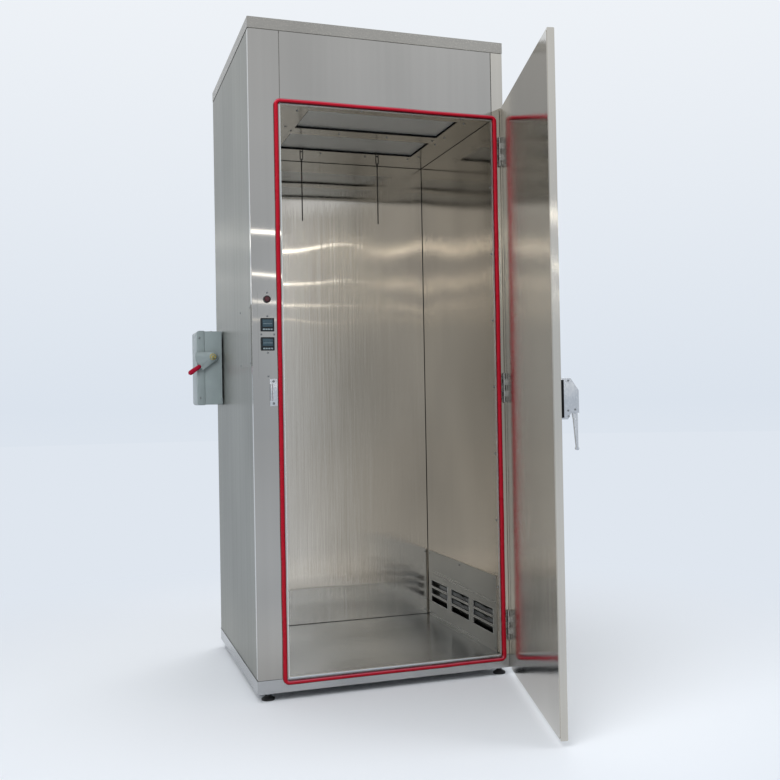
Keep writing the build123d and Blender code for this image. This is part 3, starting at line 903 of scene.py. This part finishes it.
class OVEN_OT_chamber(bpy.types.Operator):
    """Linings, filter faces and their seals, probes, painted shade in the corner joints and the opening's
    edge with a painted highlight
    """

    bl_idname = "oven.chamber"
    bl_label = "Chamber"

    def execute(self, context):
        dress(liner_steel, "back_liner")
        dress(side_liner_painted_darker, "left_liner", "right_liner")
        dress(ceiling_steel, "chamber_ceiling")
        dress(floor_steel, "floor_liner")
        dress(filter_sheet, "filter_front", "filter_rear")
        dress(dark_sheath, "probe_left", "probe_right")
        low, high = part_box("floor_liner")
        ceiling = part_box("chamber_ceiling")[0].z
        self.filter_seals((low.x + high.x) / 2, ceiling, context.scene.oven_sizes.seal_width)
        self.joints(low, high, ceiling)
        self.edge_trim(low, high, ceiling)
        return {"FINISHED"}

    def filter_seals(self, middle, ceiling, width):
        """Black seal in the gap round each filter."""
        half_span, inset, clear, depth = 0.295, 0.014, 0.0004, 0.0074
        for place in ("front", "rear"):
            low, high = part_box(f"filter_{place}")
            near = Vector((middle - half_span, low.y + inset, ceiling + clear))
            far = Vector((middle + half_span, high.y - inset, ceiling + clear))
            bm = bmesh.new()
            ring(bm, near, far, width, depth, FLAT)
            piece_from(bm, f"filter_seal_{place}", seal_and_painted_gap_shade)

    def joints(self, low, high, ceiling):
        """Painted shade: thin black strips in the corners where the chamber's sheets meet, standing in for
        the shadow in their gaps.
        """
        gap, set_back = 0.0022, 0.004
        left, right, floor = low.x, high.x, high.z
        front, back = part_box("left_liner")[0].y + set_back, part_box("back_liner")[0].y
        rightwards, leftwards, forwards = (1, 0, 0), (-1, 0, 0), (0, -1, 0)
        upwards, downwards = (0, 0, 1), (0, 0, -1)
        # Each joint's two ends, and the two ways that it spreads from its corner
        runs = [
            ((left, back, ceiling), (right, back, ceiling), forwards, downwards),
            ((left, back, floor), (right, back, floor), forwards, upwards),
            ((left, back, floor), (left, back, ceiling), rightwards, forwards),
            ((right, back, floor), (right, back, ceiling), leftwards, forwards),
            ((right, front, ceiling), (right, back, ceiling), leftwards, downwards),
            ((left, front, ceiling), (left, back, ceiling), rightwards, downwards),
            ((right, front, floor), (right, back, floor), leftwards, upwards),
            ((left, front, floor), (left, back, floor), rightwards, upwards),
        ]
        bm = bmesh.new()
        for start, end, one, two in runs:
            section = [Vector((0, 0, 0)), Vector(one) * gap, Vector(two) * gap]
            near = [bm.verts.new(Vector(start) + s) for s in section]
            far = [bm.verts.new(Vector(end) + s) for s in section]
            band(bm, near, far)
            bm.faces.new(near)
            bm.faces.new(far)
        piece_from(bm, "corner_joints", seal_and_painted_gap_shade)

    def edge_trim(self, low, high, ceiling):
        """Folded edge round the opening, painted bright as a highlight: a thin lip on the front and a return
        into the chamber.
        """
        grow, lip, lip_depth = 0.0014, 0.0020, 0.0008
        inwards, sheet, return_depth = 0.011, 0.0007, 0.0116
        near = Vector((low.x, CABINET_FRONT, high.z))
        far = Vector((high.x, CABINET_FRONT, ceiling))
        bigger = Vector((grow, 0, grow))
        back = Vector((0, inwards, 0))
        bm = bmesh.new()
        ring(bm, near - bigger, far + bigger, lip, lip_depth, FACING_FRONT)
        ring(bm, near + back, far + back, sheet, return_depth, FACING_FRONT)
        piece_from(bm, "opening_edge_trim", edge_painted_highlight)


class OVEN_OT_gasket(bpy.types.Operator):
    """Soft silicone bulb round the opening, made by sweeping its section along the opening's outline"""

    bl_idname = "oven.gasket"
    bl_label = "Door gasket"

    def execute(self, context):
        sizes = context.scene.oven_sizes
        low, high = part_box("door_gasket")
        width, squeezed = 0.016, 0.98
        data = run_tree(
            "door_gasket_bulb",
            bpy.data.meshes.new("gasket_start"),
            self.sweep_tree(),
            {
                "Opening width": high.x - low.x - width,
                "Opening height": high.z - low.z - width,
                "Corner": sizes.gasket_corner,
                "Bulb width": width * squeezed,
                "Bulb depth": high.y - low.y,
                "Waviness": sizes.gasket_waviness,
                "Material": finish(red_silicone),
            },
        )
        middle = (low + high) / 2
        data.transform(Matrix.Translation(middle) @ Matrix.Rotation(math.pi / 2, 4, "X"))
        piece = new_piece("door_gasket_bulb", data, red_silicone)
        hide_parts("door_gasket")
        return {"FINISHED"}

    def sweep_tree(self):
        """The opening's rounded outline, wandering a little and swept with the bulb's cushion section."""
        step, wander_scale, section_radius = 0.006, 5.0, 0.0067
        labels = ("Opening width", "Opening height", "Corner", "Bulb width", "Bulb depth", "Waviness")
        tree, given = new_tree("gasket_sweep", {**dict.fromkeys(labels, "Float"), "Material": "Material"})
        outline = self.rounded_rectangle(
            tree,
            given.outputs["Opening width"],
            given.outputs["Opening height"],
            {"Radius": given.outputs["Corner"], "Count": 14},
        )
        even = add_node(
            tree, "GeometryNodeResampleCurve", {"Curve": outline, "Length": step}, mode="LENGTH"
        )
        place = add_node(tree, "GeometryNodeInputPosition").outputs[0]
        wander = add_node(
            tree, "ShaderNodeTexNoise", {"Vector": place, "Scale": wander_scale, "Detail": 1.0}
        ).outputs["Color"]
        for operation, key, value in (
            ("SUBTRACT", 1, (0.5, 0.5, 0.5)),
            ("MULTIPLY", 1, (2.0, 2.0, 0.0)),
            ("SCALE", "Scale", given.outputs["Waviness"]),
        ):
            wander = add_node(
                tree, "ShaderNodeVectorMath", {0: wander, key: value}, operation=operation
            ).outputs[0]
        path = add_node(tree, "GeometryNodeSetPosition", {"Geometry": even.outputs[0], "Offset": wander})
        upright = add_node(tree, "GeometryNodeSetCurveNormal", {"Curve": path.outputs[0]}, mode="Z_UP")
        section = self.rounded_rectangle(
            tree,
            given.outputs["Bulb width"],
            given.outputs["Bulb depth"],
            {"Radius": section_radius, "Count": 8, "Limit Radius": True},
        )
        swept = add_node(
            tree, "GeometryNodeCurveToMesh", {"Curve": upright.outputs[0], "Profile Curve": section}
        )
        smooth = add_node(
            tree, "GeometryNodeSetShadeSmooth", {"Geometry": swept.outputs[0], "Shade Smooth": True}
        )
        end_tree(tree, smooth.outputs[0], given.outputs["Material"])
        return tree

    def rounded_rectangle(self, tree, width, height, corners):
        """A rectangle with rounded corners, as a curve."""
        plain = add_node(
            tree,
            "GeometryNodeCurvePrimitiveQuadrilateral",
            {"Width": width, "Height": height},
            mode="RECTANGLE",
        )
        return add_node(
            tree, "GeometryNodeFilletCurve", {"Curve": plain.outputs[0], **corners}, mode="POLY"
        ).outputs[0]


class OVEN_OT_door(bpy.types.Operator):
    """The door's brushed pan, its bright inner sheet and the three hinges"""

    bl_idname = "oven.door"
    bl_label = "Door and hinges"

    def execute(self, context):
        dress(door_lining, "door_shell", "door_inner_panel")
        for place in ("top", "middle", "bottom"):
            dress(hinge_steel, f"{place}_hinge_post_leaf", f"{place}_hinge_door_leaf")
            self.pin_heads(place)
        return {"FINISHED"}

    def pin_heads(self, place):
        """Small domed heads at both ends of a hinge pin."""
        dome = [(0.0, 0.0028), (0.0022, 0.0025), (0.0042, 0.0012), (0.0046, 0.0)]
        low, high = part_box(f"{place}_hinge_post_leaf")
        bm = bmesh.new()
        for z, way in ((high.z, 1), (low.z, -1)):
            turned(bm, dome, (PIN.x, PIN.y, z), (0, 0, way), 20)
        piece_from(bm, f"{place}_hinge_pin_heads", hinge_steel, smooth_angle=40)


class OVEN_OT_grille(bpy.types.Operator):
    """The return grille, with a rim at every punched slot, painted bright as a highlight"""

    bl_idname = "oven.grille"
    bl_label = "Return grille"

    def execute(self, context):
        dress(grille_steel, "return_grille")
        dress(zinc_plate, "return_damper")
        slot_length, slot_height, rim_depth, sunk = 0.222, 0.026, 0.0009, 0.0002
        column_pitch, row_pitch, lowest_row = 0.275, 0.0355, 0.080
        width = context.scene.oven_sizes.slot_rim
        half_height, half_length = slot_height / 2 + width, slot_length / 2 + width
        bm = bmesh.new()
        near = Vector((-half_height, -half_length, -sunk))
        ring(bm, near, Vector((half_height, half_length, 0)), width, rim_depth, FLAT)
        low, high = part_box("return_grille")
        middle = (low.y + high.y) / 2
        places = [
            ((low.x, middle + column * column_pitch, low.z + lowest_row + row * row_pitch), (-1, 0, 0), 1.0)
            for column in (-1, 0, 1)
            for row in range(3)
        ]
        repeated_piece("return_slot_rims", mesh_from(bm, "slot_rim"), places, edge_painted_highlight)
        return {"FINISHED"}


class OVEN_OT_controls(bpy.types.Operator):
    """Two panel controllers with a window and keys, and the pilot light with its lens"""

    bl_idname = "oven.controls"
    bl_label = "Controls"

    def execute(self, context):
        for place in ("upper", "lower"):
            self.controller(f"{place}_controller")
        self.pilot()
        return {"FINISHED"}

    def controller(self, node):
        """A bevelled case with a smoked window, a faint display row and four keys."""
        rounded_node(node, f"{node}_case", 0.0014, 3, controller_case)
        low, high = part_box(node)
        face, middle = low.y, (low.x + high.x) / 2
        window_size, window_drop = (0.037, 0.0265, 0.0009), 0.032
        key_size, key_pitch, key_rise, first_key = (0.0074, 0.0052, 0.0016), 0.0092, 0.0045, 0.0175
        row_size, row_drop, row_sunk = (0.033, 0.0012, 0.0013), 0.0215, 0.0002
        bm = bmesh.new()
        corner = (middle - window_size[0] / 2, face, high.z - window_drop)
        block(bm, corner, window_size, FACING_FRONT, 0.0006)
        piece_from(bm, f"{node}_window", controller_window, smooth_angle=40)
        bm = bmesh.new()
        for n in range(4):
            corner = (middle - first_key + n * key_pitch, face, low.z + key_rise)
            block(bm, corner, key_size, FACING_FRONT, 0.0005)
        corner = (middle - row_size[0] / 2, face + row_sunk, high.z - row_drop)
        block(bm, corner, row_size, FACING_FRONT)
        piece_from(bm, f"{node}_keys", controller_key, smooth_angle=40)

    def pilot(self):
        """A nylon ring with a domed lens."""
        low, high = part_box("pilot_light")
        centre = ((low.x + high.x) / 2, high.y, (low.z + high.z) / 2)
        bezel = [
            (0.0, 0.0),
            (0.0134, 0.0),
            (0.0134, 0.006),
            (0.0128, 0.0085),
            (0.0116, 0.0095),
            (0.0100, 0.0095),
            (0.0096, 0.0070),
            (0.0, 0.0070),
        ]
        lens = [
            (0.0, 0.0072),
            (0.0094, 0.0072),
            (0.0094, 0.0105),
            (0.0086, 0.0123),
            (0.0064, 0.0135),
            (0.0032, 0.0139),
            (0.0, 0.01395),
        ]
        bm = bmesh.new()
        turned(bm, bezel, centre, (0, -1, 0), 40)
        ring_piece = piece_from(bm, "pilot_light_ring", pilot_bezel, smooth_angle=35)
        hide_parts("pilot_light")
        bm = bmesh.new()
        turned(bm, lens, centre, (0, -1, 0), 40)
        piece_from(bm, "pilot_light_lens", pilot_lens, smooth_angle=35)


class OVEN_OT_latch(bpy.types.Operator):
    """The cast latch and lever on the door, and the strike on the post"""

    bl_idname = "oven.latch"
    bl_label = "Latch and strike"

    def execute(self, context):
        rounded_node("latch_body", "latch_housing", 0.0025, 4, cast_chrome)
        rounded_node("latch_lever", "latch_lever_casting", 0.0018, 3, cast_chrome)
        rounded_node("latch_keeper", "latch_strike", 0.0012, 3, cast_chrome)
        self.pad()
        return {"FINISHED"}

    def pad(self):
        """Painted shade: a black block between the door and the housing's near cheek, standing in for that
        face's shadow.
        """
        low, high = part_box("latch_body")
        thick, wide, margin = 0.0044, 0.0082, 0.005
        from_pin, out_from_pin = 884.0, 33.4
        corner = on_door(from_pin, out_from_pin, (low.z - BASE_BOTTOM + margin) * 1000)
        size = (thick, wide, high.z - low.z - 2 * margin)
        bm = bmesh.new()
        block(bm, corner, size, (ALONG_DOOR, OUT_OF_DOOR, Vector((0, 0, 1))))
        piece_from(bm, "latch_pad", seal_and_painted_gap_shade, "door")


class OVEN_OT_switch(bpy.types.Operator):
    """The disconnect switch: enamelled box and cover, brass bush, handle plate and red grip"""

    bl_idname = "oven.switch"
    bl_label = "Disconnect switch"

    def execute(self, context):
        rounded_node("switch_box", "switch_box_shell", 0.0015, 3, grey_enamel)
        rounded_node("switch_cover", "switch_cover_shell", 0.0025, 3, grey_enamel)
        pivot = joint_place("switch_handle_pivot")
        tilt = math.radians(36)
        along = Vector((-math.cos(tilt), 0, -math.sin(tilt)))
        across = Vector((math.sin(tilt), 0, -math.cos(tilt)))
        out = Vector((0, -1, 0))
        grip_stands_out = 0.015
        self.plate(pivot, along)
        self.bush(pivot, out)
        self.grip(pivot + out * grip_stands_out, along, across, out)
        return {"FINISHED"}

    def plate(self, pivot, along):
        """The handle's plate and hub, without the grip, which is a piece of its own."""
        plate_end = 0.0665
        bm = cad_copy("switch_handle")
        past = [f for f in bm.faces if (f.calc_center_median() - pivot).dot(along) > plate_end]
        bmesh.ops.delete(bm, geom=past, context="FACES")
        piece = piece_from(bm, "switch_handle_plate", grey_enamel, "switch_handle", 30)
        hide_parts("switch_handle")

    def bush(self, pivot, out):
        """Brass ring and screw at the handle's pivot."""
        profile = [
            (0.0131, 0.0),
            (0.0131, 0.0192),
            (0.0122, 0.0202),
            (0.0104, 0.0202),
            (0.0088, 0.0178),
            (0.0060, 0.0178),
            (0.0052, 0.0204),
            (0.0, 0.0207),
        ]
        bm = bmesh.new()
        turned(bm, profile, pivot, out, 40)
        piece_from(bm, "switch_pivot_bush", turned_brass, "switch_handle", 35)

    def grip(self, start, along, across, out):
        """Dipped grip: a flat bar that swells towards a round end."""
        first, length, steps = 0.0635, 0.0622, 14
        half_width, half_thickness, least = 0.0102, 0.0081, 0.0001
        thin_end, round_from, corner_power = 0.80, 0.80, 0.7
        bm = bmesh.new()
        rows = []
        for n in range(steps + 1):
            # Its start is rounded off, it swells over five eighths of its length, and its end is round
            share = n / steps
            swell = thin_end + (1 - thin_end) * min(1.0, share * 1.6)
            end = max(0.0, (share - round_from) / (1 - round_from))
            taper = math.sqrt(max(0.0, 1 - end * end))
            start_round = math.sqrt(min(1.0, 0.35 + share * 9))
            wide = max(half_width * swell * taper * start_round, least)
            thick = max(half_thickness * swell * (0.35 + 0.65 * taper) * start_round, least)
            middle = start + along * (first + length * share)
            row = []
            for c, s in circle(20):
                x = math.copysign(abs(c) ** corner_power, c) * wide
                y = math.copysign(abs(s) ** corner_power, s) * thick
                row.append(bm.verts.new(middle + across * x + out * y))
            rows.append(row)
        for low, high in zip(rows, rows[1:]):
            band(bm, low, high)
        bm.faces.new(rows[0])
        bm.faces.new(rows[-1])
        piece_from(bm, "switch_handle_grip", red_grip, "switch_handle", 50)


class OVEN_OT_feet(bpy.types.Operator):
    """Four levelling feet: a flared rubber pad under a nut on a stud"""

    bl_idname = "oven.feet"
    bl_label = "Feet"

    def execute(self, context):
        pad = [
            (0.0, 0.0),
            (0.0235, 0.0),
            (0.0243, 0.0012),
            (0.0243, 0.0062),
            (0.0236, 0.0075),
            (0.0111, 0.0144),
            (0.0104, 0.0155),
            (0.0104, 0.0190),
            (0.0, 0.0190),
        ]
        stud = [(0.0, 0.0), (0.0058, 0.0), (0.0058, 0.0310), (0.0, 0.0310)]
        nut = [
            (0.0, 0.0192),
            (0.0102, 0.0192),
            (0.0109, 0.0200),
            (0.0109, 0.0300),
            (0.0102, 0.0308),
            (0.0, 0.0308),
        ]
        names = [f"foot_{y}_{x}" for y in ("front", "back") for x in ("left", "right")]
        piece = self.at_each(names, "foot_pads", foot_rubber, 35, ((pad, 40),))
        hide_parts(*names)
        self.at_each(names, "foot_nuts", zinc_plate, 30, ((stud, 16), (nut, 6)))
        return {"FINISHED"}

    def at_each(self, names, name, maker, smooth_angle, profiles):
        """Set one turned pattern, from profiles and their counts of sides, at each of the four feet."""
        bm = bmesh.new()
        for profile, sides in profiles:
            turned(bm, profile, (0, 0, 0), (0, 0, 1), sides)
        places = []
        for node in names:
            low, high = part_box(node)
            places.append((((low.x + high.x) / 2, (low.y + high.y) / 2, 0.0), (0, 0, 1), 1.0))
        shape = mesh_from(bm, name, smooth_angle)
        return repeated_piece(name, shape, places, maker, turn=1.2, seed=5)


def inside_ends(low, high, margin):
    """The two places that lie a margin inside two ends."""
    return low + margin, high - margin


class OVEN_OT_screws(bpy.types.Operator):
    """Every screw head, set out from one pattern by Geometry Nodes, one mesh for each body"""

    bl_idname = "oven.screws"
    bl_label = "Screws"

    def execute(self, context):
        radius = context.scene.oven_sizes.screw_diameter / 2
        for body, places in (("cabinet", self.cabinet_places()), ("door", self.door_places())):
            name = f"{body}_screws"
            shape = screw_head(name)
            repeated_piece(
                name, shape, places, screw_steel, body, scale=radius, turn=6.28, seed=11
            )
        return {"FINISHED"}

    def cabinet_places(self):
        """Where each screw on the cabinet sits, which way it faces and its size beside the common one."""
        left, right, front, up, down = (-1, 0, 0), (1, 0, 0), (0, -1, 0), (0, 0, 1), (0, 0, -1)
        small, middling, common, large = 0.85, 0.9, 1.0, 1.1
        places = []
        # Control plate
        plate_face = (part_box("control_plate")[0].y - CABINET_FRONT) * 1000
        for x, z in ((56, 1441), (56, 1356), (33, 1290), (79, 1290), (56, 1224), (56, 1139)):
            places.append((on_cabinet(x, plate_face, z), front, small))
        # Strike, on its 3 mm plate
        low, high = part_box("latch_keeper")
        middle = (low.x + high.x) / 2 - 0.001
        for z in inside_ends(low.z, high.z, 0.009):
            places.append(((middle, CABINET_FRONT - 0.003, z), front, large))
        # Ceiling, along its three cross rails and its two long sides
        ceiling = (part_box("chamber_ceiling")[0].z - BASE_BOTTOM) * 1000
        rails = [(x, y) for y in (17, 372, 724) for x in (225, 423, 622, 820)]
        rails += [(x, y) for x in (193, 853) for y in (78, 312, 434, 668)]
        for x, y in rails:
            places.append((on_cabinet(x, y, ceiling), down, common))
        # Jambs, 24 mm behind the front
        low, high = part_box("floor_liner")
        for z in (309, 570, 830, 1091, 1350, 1610, 1872):
            for x, way in ((high.x, left), (low.x, right)):
                places.append(((x, CABINET_FRONT + 0.024, BASE_BOTTOM + z / 1000), way, common))
        # Grille, 14 mm inside its edges
        low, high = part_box("return_grille")
        near, far = inside_ends(low.y, high.y, 0.014)
        for y in (near, (low.y + high.y) / 2, far):
            for z in inside_ends(low.z, high.z, 0.014):
                places.append(((low.x, y, z), left, middling))
        # Top cap, 13 mm behind the front and sunk by 3 mm
        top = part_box("top_cap")[1].z
        for x in (-0.262, -0.007, 0.171, 0.358):
            places.append(((x, CABINET_FRONT + 0.013, top - 0.0030), up, common))
        # Service cover, 11 mm inside its edges
        low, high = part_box("service_cover")
        for y in inside_ends(low.y, high.y, 0.011):
            for z in inside_ends(low.z, high.z, 0.011):
                places.append(((low.x, y, z), left, middling))
        # Hinges, at these shares of a leaf's height
        for place in ("top", "middle", "bottom"):
            low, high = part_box(f"{place}_hinge_post_leaf")
            for share in (0.12, 0.37, 0.63, 0.88):
                z = low.z + (high.z - low.z) * share
                places.append(((low.x + 0.006, high.y - 0.0025, z), front, small))
        # Switch box's top, and its cover's left edge
        low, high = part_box("switch_box")
        for y in inside_ends(low.y, high.y, 0.020):
            places.append(((low.x + 0.030, y, high.z), up, middling))
        low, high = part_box("switch_cover")
        for z in inside_ends(low.z, high.z, 0.030):
            places.append(((low.x + 0.012, low.y, z), front, middling))
        return places

    def door_places(self):
        """Screws on the latch's near cheek, given out from the pin and above the base in millimetres."""
        cheek, size = 887.8, 0.8
        spots = ((54.25, 1001), (76.25, 1004), (55.25, 1093), (55.25, 983))
        return [(on_door(cheek, out, z), tuple(ALONG_DOOR), size) for out, z in spots]


# Stage


def seen_directly(tree, *ways):
    """1 for rays of these kinds, which show a backdrop as it is, and 0 for all others."""
    rays = add_node(tree, "ShaderNodeLightPath")
    share = rays.outputs[ways[0]]
    for way in ways[1:]:
        share = add_node(
            tree, "ShaderNodeMath", {0: share, 1: rays.outputs[way]}, operation="MAXIMUM"
        ).outputs[0]
    return share


def from_middle(tree):
    """How far a point of the floor or the ceiling is from the middle of the stage."""
    flat = object_point(tree, (1.0, 1.0, 0.0))
    return add_node(tree, "ShaderNodeVectorMath", {0: flat}, operation="LENGTH").outputs["Value"]


def world_light():
    """Pale backdrop for the camera and for reflections, and a softer even light for everything else."""
    world = bpy.data.worlds.new("studio")
    bpy.context.scene.world = world
    world.use_nodes = True
    tree = world.node_tree
    tree.nodes.clear()
    direction = add_node(tree, "ShaderNodeTexCoord").outputs["Generated"]
    height = add_node(tree, "ShaderNodeSeparateXYZ", {"Vector": direction}).outputs["Z"]
    climb = add_node(
        tree,
        "ShaderNodeMapRange",
        {"Value": height, "From Min": -0.35, "From Max": 0.35, "To Min": 0.0, "To Max": 1.0},
    )
    ramp = add_node(tree, "ShaderNodeValToRGB", {"Fac": climb.outputs[0]})
    stops = ramp.color_ramp.elements
    stops[0].color = hex_colour("#EBEFF4")
    stops[1].color = hex_colour("#EEF2F7")
    stops.new(0.5).color = hex_colour("#DBE3ED")
    seen = add_node(tree, "ShaderNodeBackground", {"Color": ramp.outputs["Color"], "Strength": 1.0})
    soft = add_node(tree, "ShaderNodeBackground", {"Color": hex_colour("#F2F4F7"), "Strength": 0.55})
    direct = seen_directly(tree, "Is Camera Ray", "Is Glossy Ray", "Is Transmission Ray")
    mixed = add_node(tree, "ShaderNodeMixShader", {0: direct, 1: soft.outputs[0], 2: seen.outputs[0]})
    add_node(tree, "ShaderNodeOutputWorld", {"Surface": mixed.outputs[0]})


def floor_finish():
    """Matt pale floor near the oven that turns into the backdrop's own colour further out."""
    material, tree, shader = new_material("floor_matt_pale")
    shader.inputs["Base Color"].default_value = bpy.context.scene.oven_colours.floor
    shader.inputs["Roughness"].default_value = 0.7
    shader.inputs["Specular IOR Level"].default_value = 0.2
    far = add_node(
        tree,
        "ShaderNodeMapRange",
        {"Value": from_middle(tree), "From Min": 0.8, "From Max": 2.8, "To Min": 0.0, "To Max": 1.0},
        interpolation_type="SMOOTHSTEP",
    ).outputs[0]
    direct = seen_directly(tree, "Is Camera Ray", "Is Glossy Ray")
    share = add_node(tree, "ShaderNodeMath", {0: far, 1: direct}, operation="MULTIPLY").outputs[0]
    glow = add_node(tree, "ShaderNodeEmission", {"Color": hex_colour("#DFE6EF"), "Strength": 1.0})
    mixed = add_node(
        tree, "ShaderNodeMixShader", {0: share, 1: shader.outputs["BSDF"], 2: glow.outputs[0]}
    )
    end_in(tree, mixed.outputs[0])
    return material


def tube_glow(nearest, farthest):
    """Warm white light of the ceiling tubes, fainter from the nearest row to the farthest."""
    material, tree, shader = new_material("tube_glow")
    tree.nodes.remove(shader)
    strength = add_node(
        tree,
        "ShaderNodeMapRange",
        {
            "Value": from_middle(tree),
            "From Min": nearest,
            "From Max": farthest,
            "To Min": 5.2,
            "To Max": 1.6,
        },
    )
    glow = add_node(
        tree, "ShaderNodeEmission", {"Color": hex_colour("#FFFDF8"), "Strength": strength.outputs[0]}
    )
    end_in(tree, glow.outputs[0])
    material.cycles.emission_sampling = "NONE"
    return material


def tube_rows():
    """Four rings of ceiling tubes far out round the oven, seen only as thin lines in the polished sheets."""
    radii, bottom, top, sides = (16.0, 22.5, 29.0, 35.5), 4.13, 4.19, 96
    bm = bmesh.new()
    for radius in radii:
        low, high = (
            [bm.verts.new((radius * c, radius * s, z)) for c, s in circle(sides)] for z in (bottom, top)
        )
        band(bm, high, low)
    data = bpy.data.meshes.new("tube_rows")
    bm.to_mesh(data)
    bm.free()
    rings = bpy.data.objects.new("tube_rows", data)
    bpy.context.scene.collection.objects.link(rings)
    paint(rings, tube_glow(radii[0], radii[-1]))
    for way in ("camera", "diffuse", "transmission", "volume_scatter", "shadow"):
        setattr(rings, f"visible_{way}", False)


def pale_floor():
    """Round floor that reaches out to the backdrop."""
    bm = bmesh.new()
    bmesh.ops.create_circle(bm, cap_ends=True, radius=30.0, segments=96)
    floor = bpy.data.objects.new("floor", mesh_from(bm, "floor"))
    bpy.context.scene.collection.objects.link(floor)
    paint(floor, floor_finish())


def soft_box(name, place, size, energy):
    """A soft box turned to the oven, which lights the matt parts and shows in no reflection."""
    target = Vector((0.0, 0.0, 1.2))
    data = bpy.data.lights.new(name, "AREA")
    data.shape = "RECTANGLE"
    data.size, data.size_y = size
    data.energy = energy
    lamp = bpy.data.objects.new(name, data)
    bpy.context.scene.collection.objects.link(lamp)
    lamp.location = place
    lamp.rotation_euler = (target - Vector(place)).to_track_quat("-Z", "Y").to_euler()
    lamp.visible_camera = False
    lamp.visible_glossy = False


def photograph_camera():
    """The camera at the photograph's angle, found by fitting the cabinet's and the door's corners."""
    data = bpy.data.cameras.new("camera")
    data.sensor_width = 36.0
    data.lens = 49.34
    data.shift_x = -0.109
    data.clip_end = 100.0
    camera = bpy.data.objects.new("camera", data)
    bpy.context.scene.collection.objects.link(camera)
    camera.location = (-1.0978, -4.3700, 1.0638)
    camera.rotation_euler = [math.radians(a) for a in (90.6439, 1.0777, -20.5989)]
    bpy.context.scene.camera = camera


class OVEN_OT_stage(bpy.types.Operator):
    """Pale floor, soft studio light and the camera at the photograph's angle"""

    bl_idname = "oven.stage"
    bl_label = "Floor, light and camera"

    def execute(self, context):
        world_light()
        pale_floor()
        soft_box("key_light", (-2.6, -3.6, 4.2), (3.4, 3.4), 170)
        soft_box("fill_light", (3.4, -3.0, 2.6), (2.6, 3.0), 60)
        soft_box("back_light", (1.5, 3.5, 3.6), (3.0, 2.4), 60)
        tube_rows()
        context.scene.view_settings.view_transform = "Standard"
        photograph_camera()
        return {"FINISHED"}


OPERATORS = (
    OVEN_OT_exterior,
    OVEN_OT_chamber,
    OVEN_OT_gasket,
    OVEN_OT_door,
    OVEN_OT_grille,
    OVEN_OT_controls,
    OVEN_OT_latch,
    OVEN_OT_switch,
    OVEN_OT_feet,
    OVEN_OT_screws,
    OVEN_OT_stage,
)


class OVEN_PT_panel(bpy.types.Panel):
    """Lists the oven's sizes, colours and pieces"""

    bl_idname = "OVEN_PT_panel"
    bl_label = "Cleanroom oven"
    bl_space_type = "VIEW_3D"
    bl_region_type = "UI"
    bl_category = "Oven"

    def draw(self, context):
        for settings in (context.scene.oven_sizes, context.scene.oven_colours):
            for name in settings.__annotations__:
                self.layout.prop(settings, name)
        for operator in OPERATORS:
            self.layout.operator(operator.bl_idname)


CLASSES = (OvenSizes, OvenColours, *OPERATORS, OVEN_PT_panel)


def register():
    for cls in CLASSES:
        bpy.utils.register_class(cls)
    bpy.types.Scene.oven_sizes = bpy.props.PointerProperty(type=OvenSizes)
    bpy.types.Scene.oven_colours = bpy.props.PointerProperty(type=OvenColours)


def unregister():
    del bpy.types.Scene.oven_colours
    del bpy.types.Scene.oven_sizes
    for cls in reversed(CLASSES):
        bpy.utils.unregister_class(cls)


def main():
    """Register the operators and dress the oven."""
    register()
    bpy.ops.oven.exterior()
    bpy.ops.oven.chamber()
    bpy.ops.oven.gasket()
    bpy.ops.oven.door()
    bpy.ops.oven.grille()
    bpy.ops.oven.controls()
    bpy.ops.oven.latch()
    bpy.ops.oven.switch()
    bpy.ops.oven.feet()
    bpy.ops.oven.screws()
    bpy.ops.oven.stage()


if __name__ == "__main__":
    main()
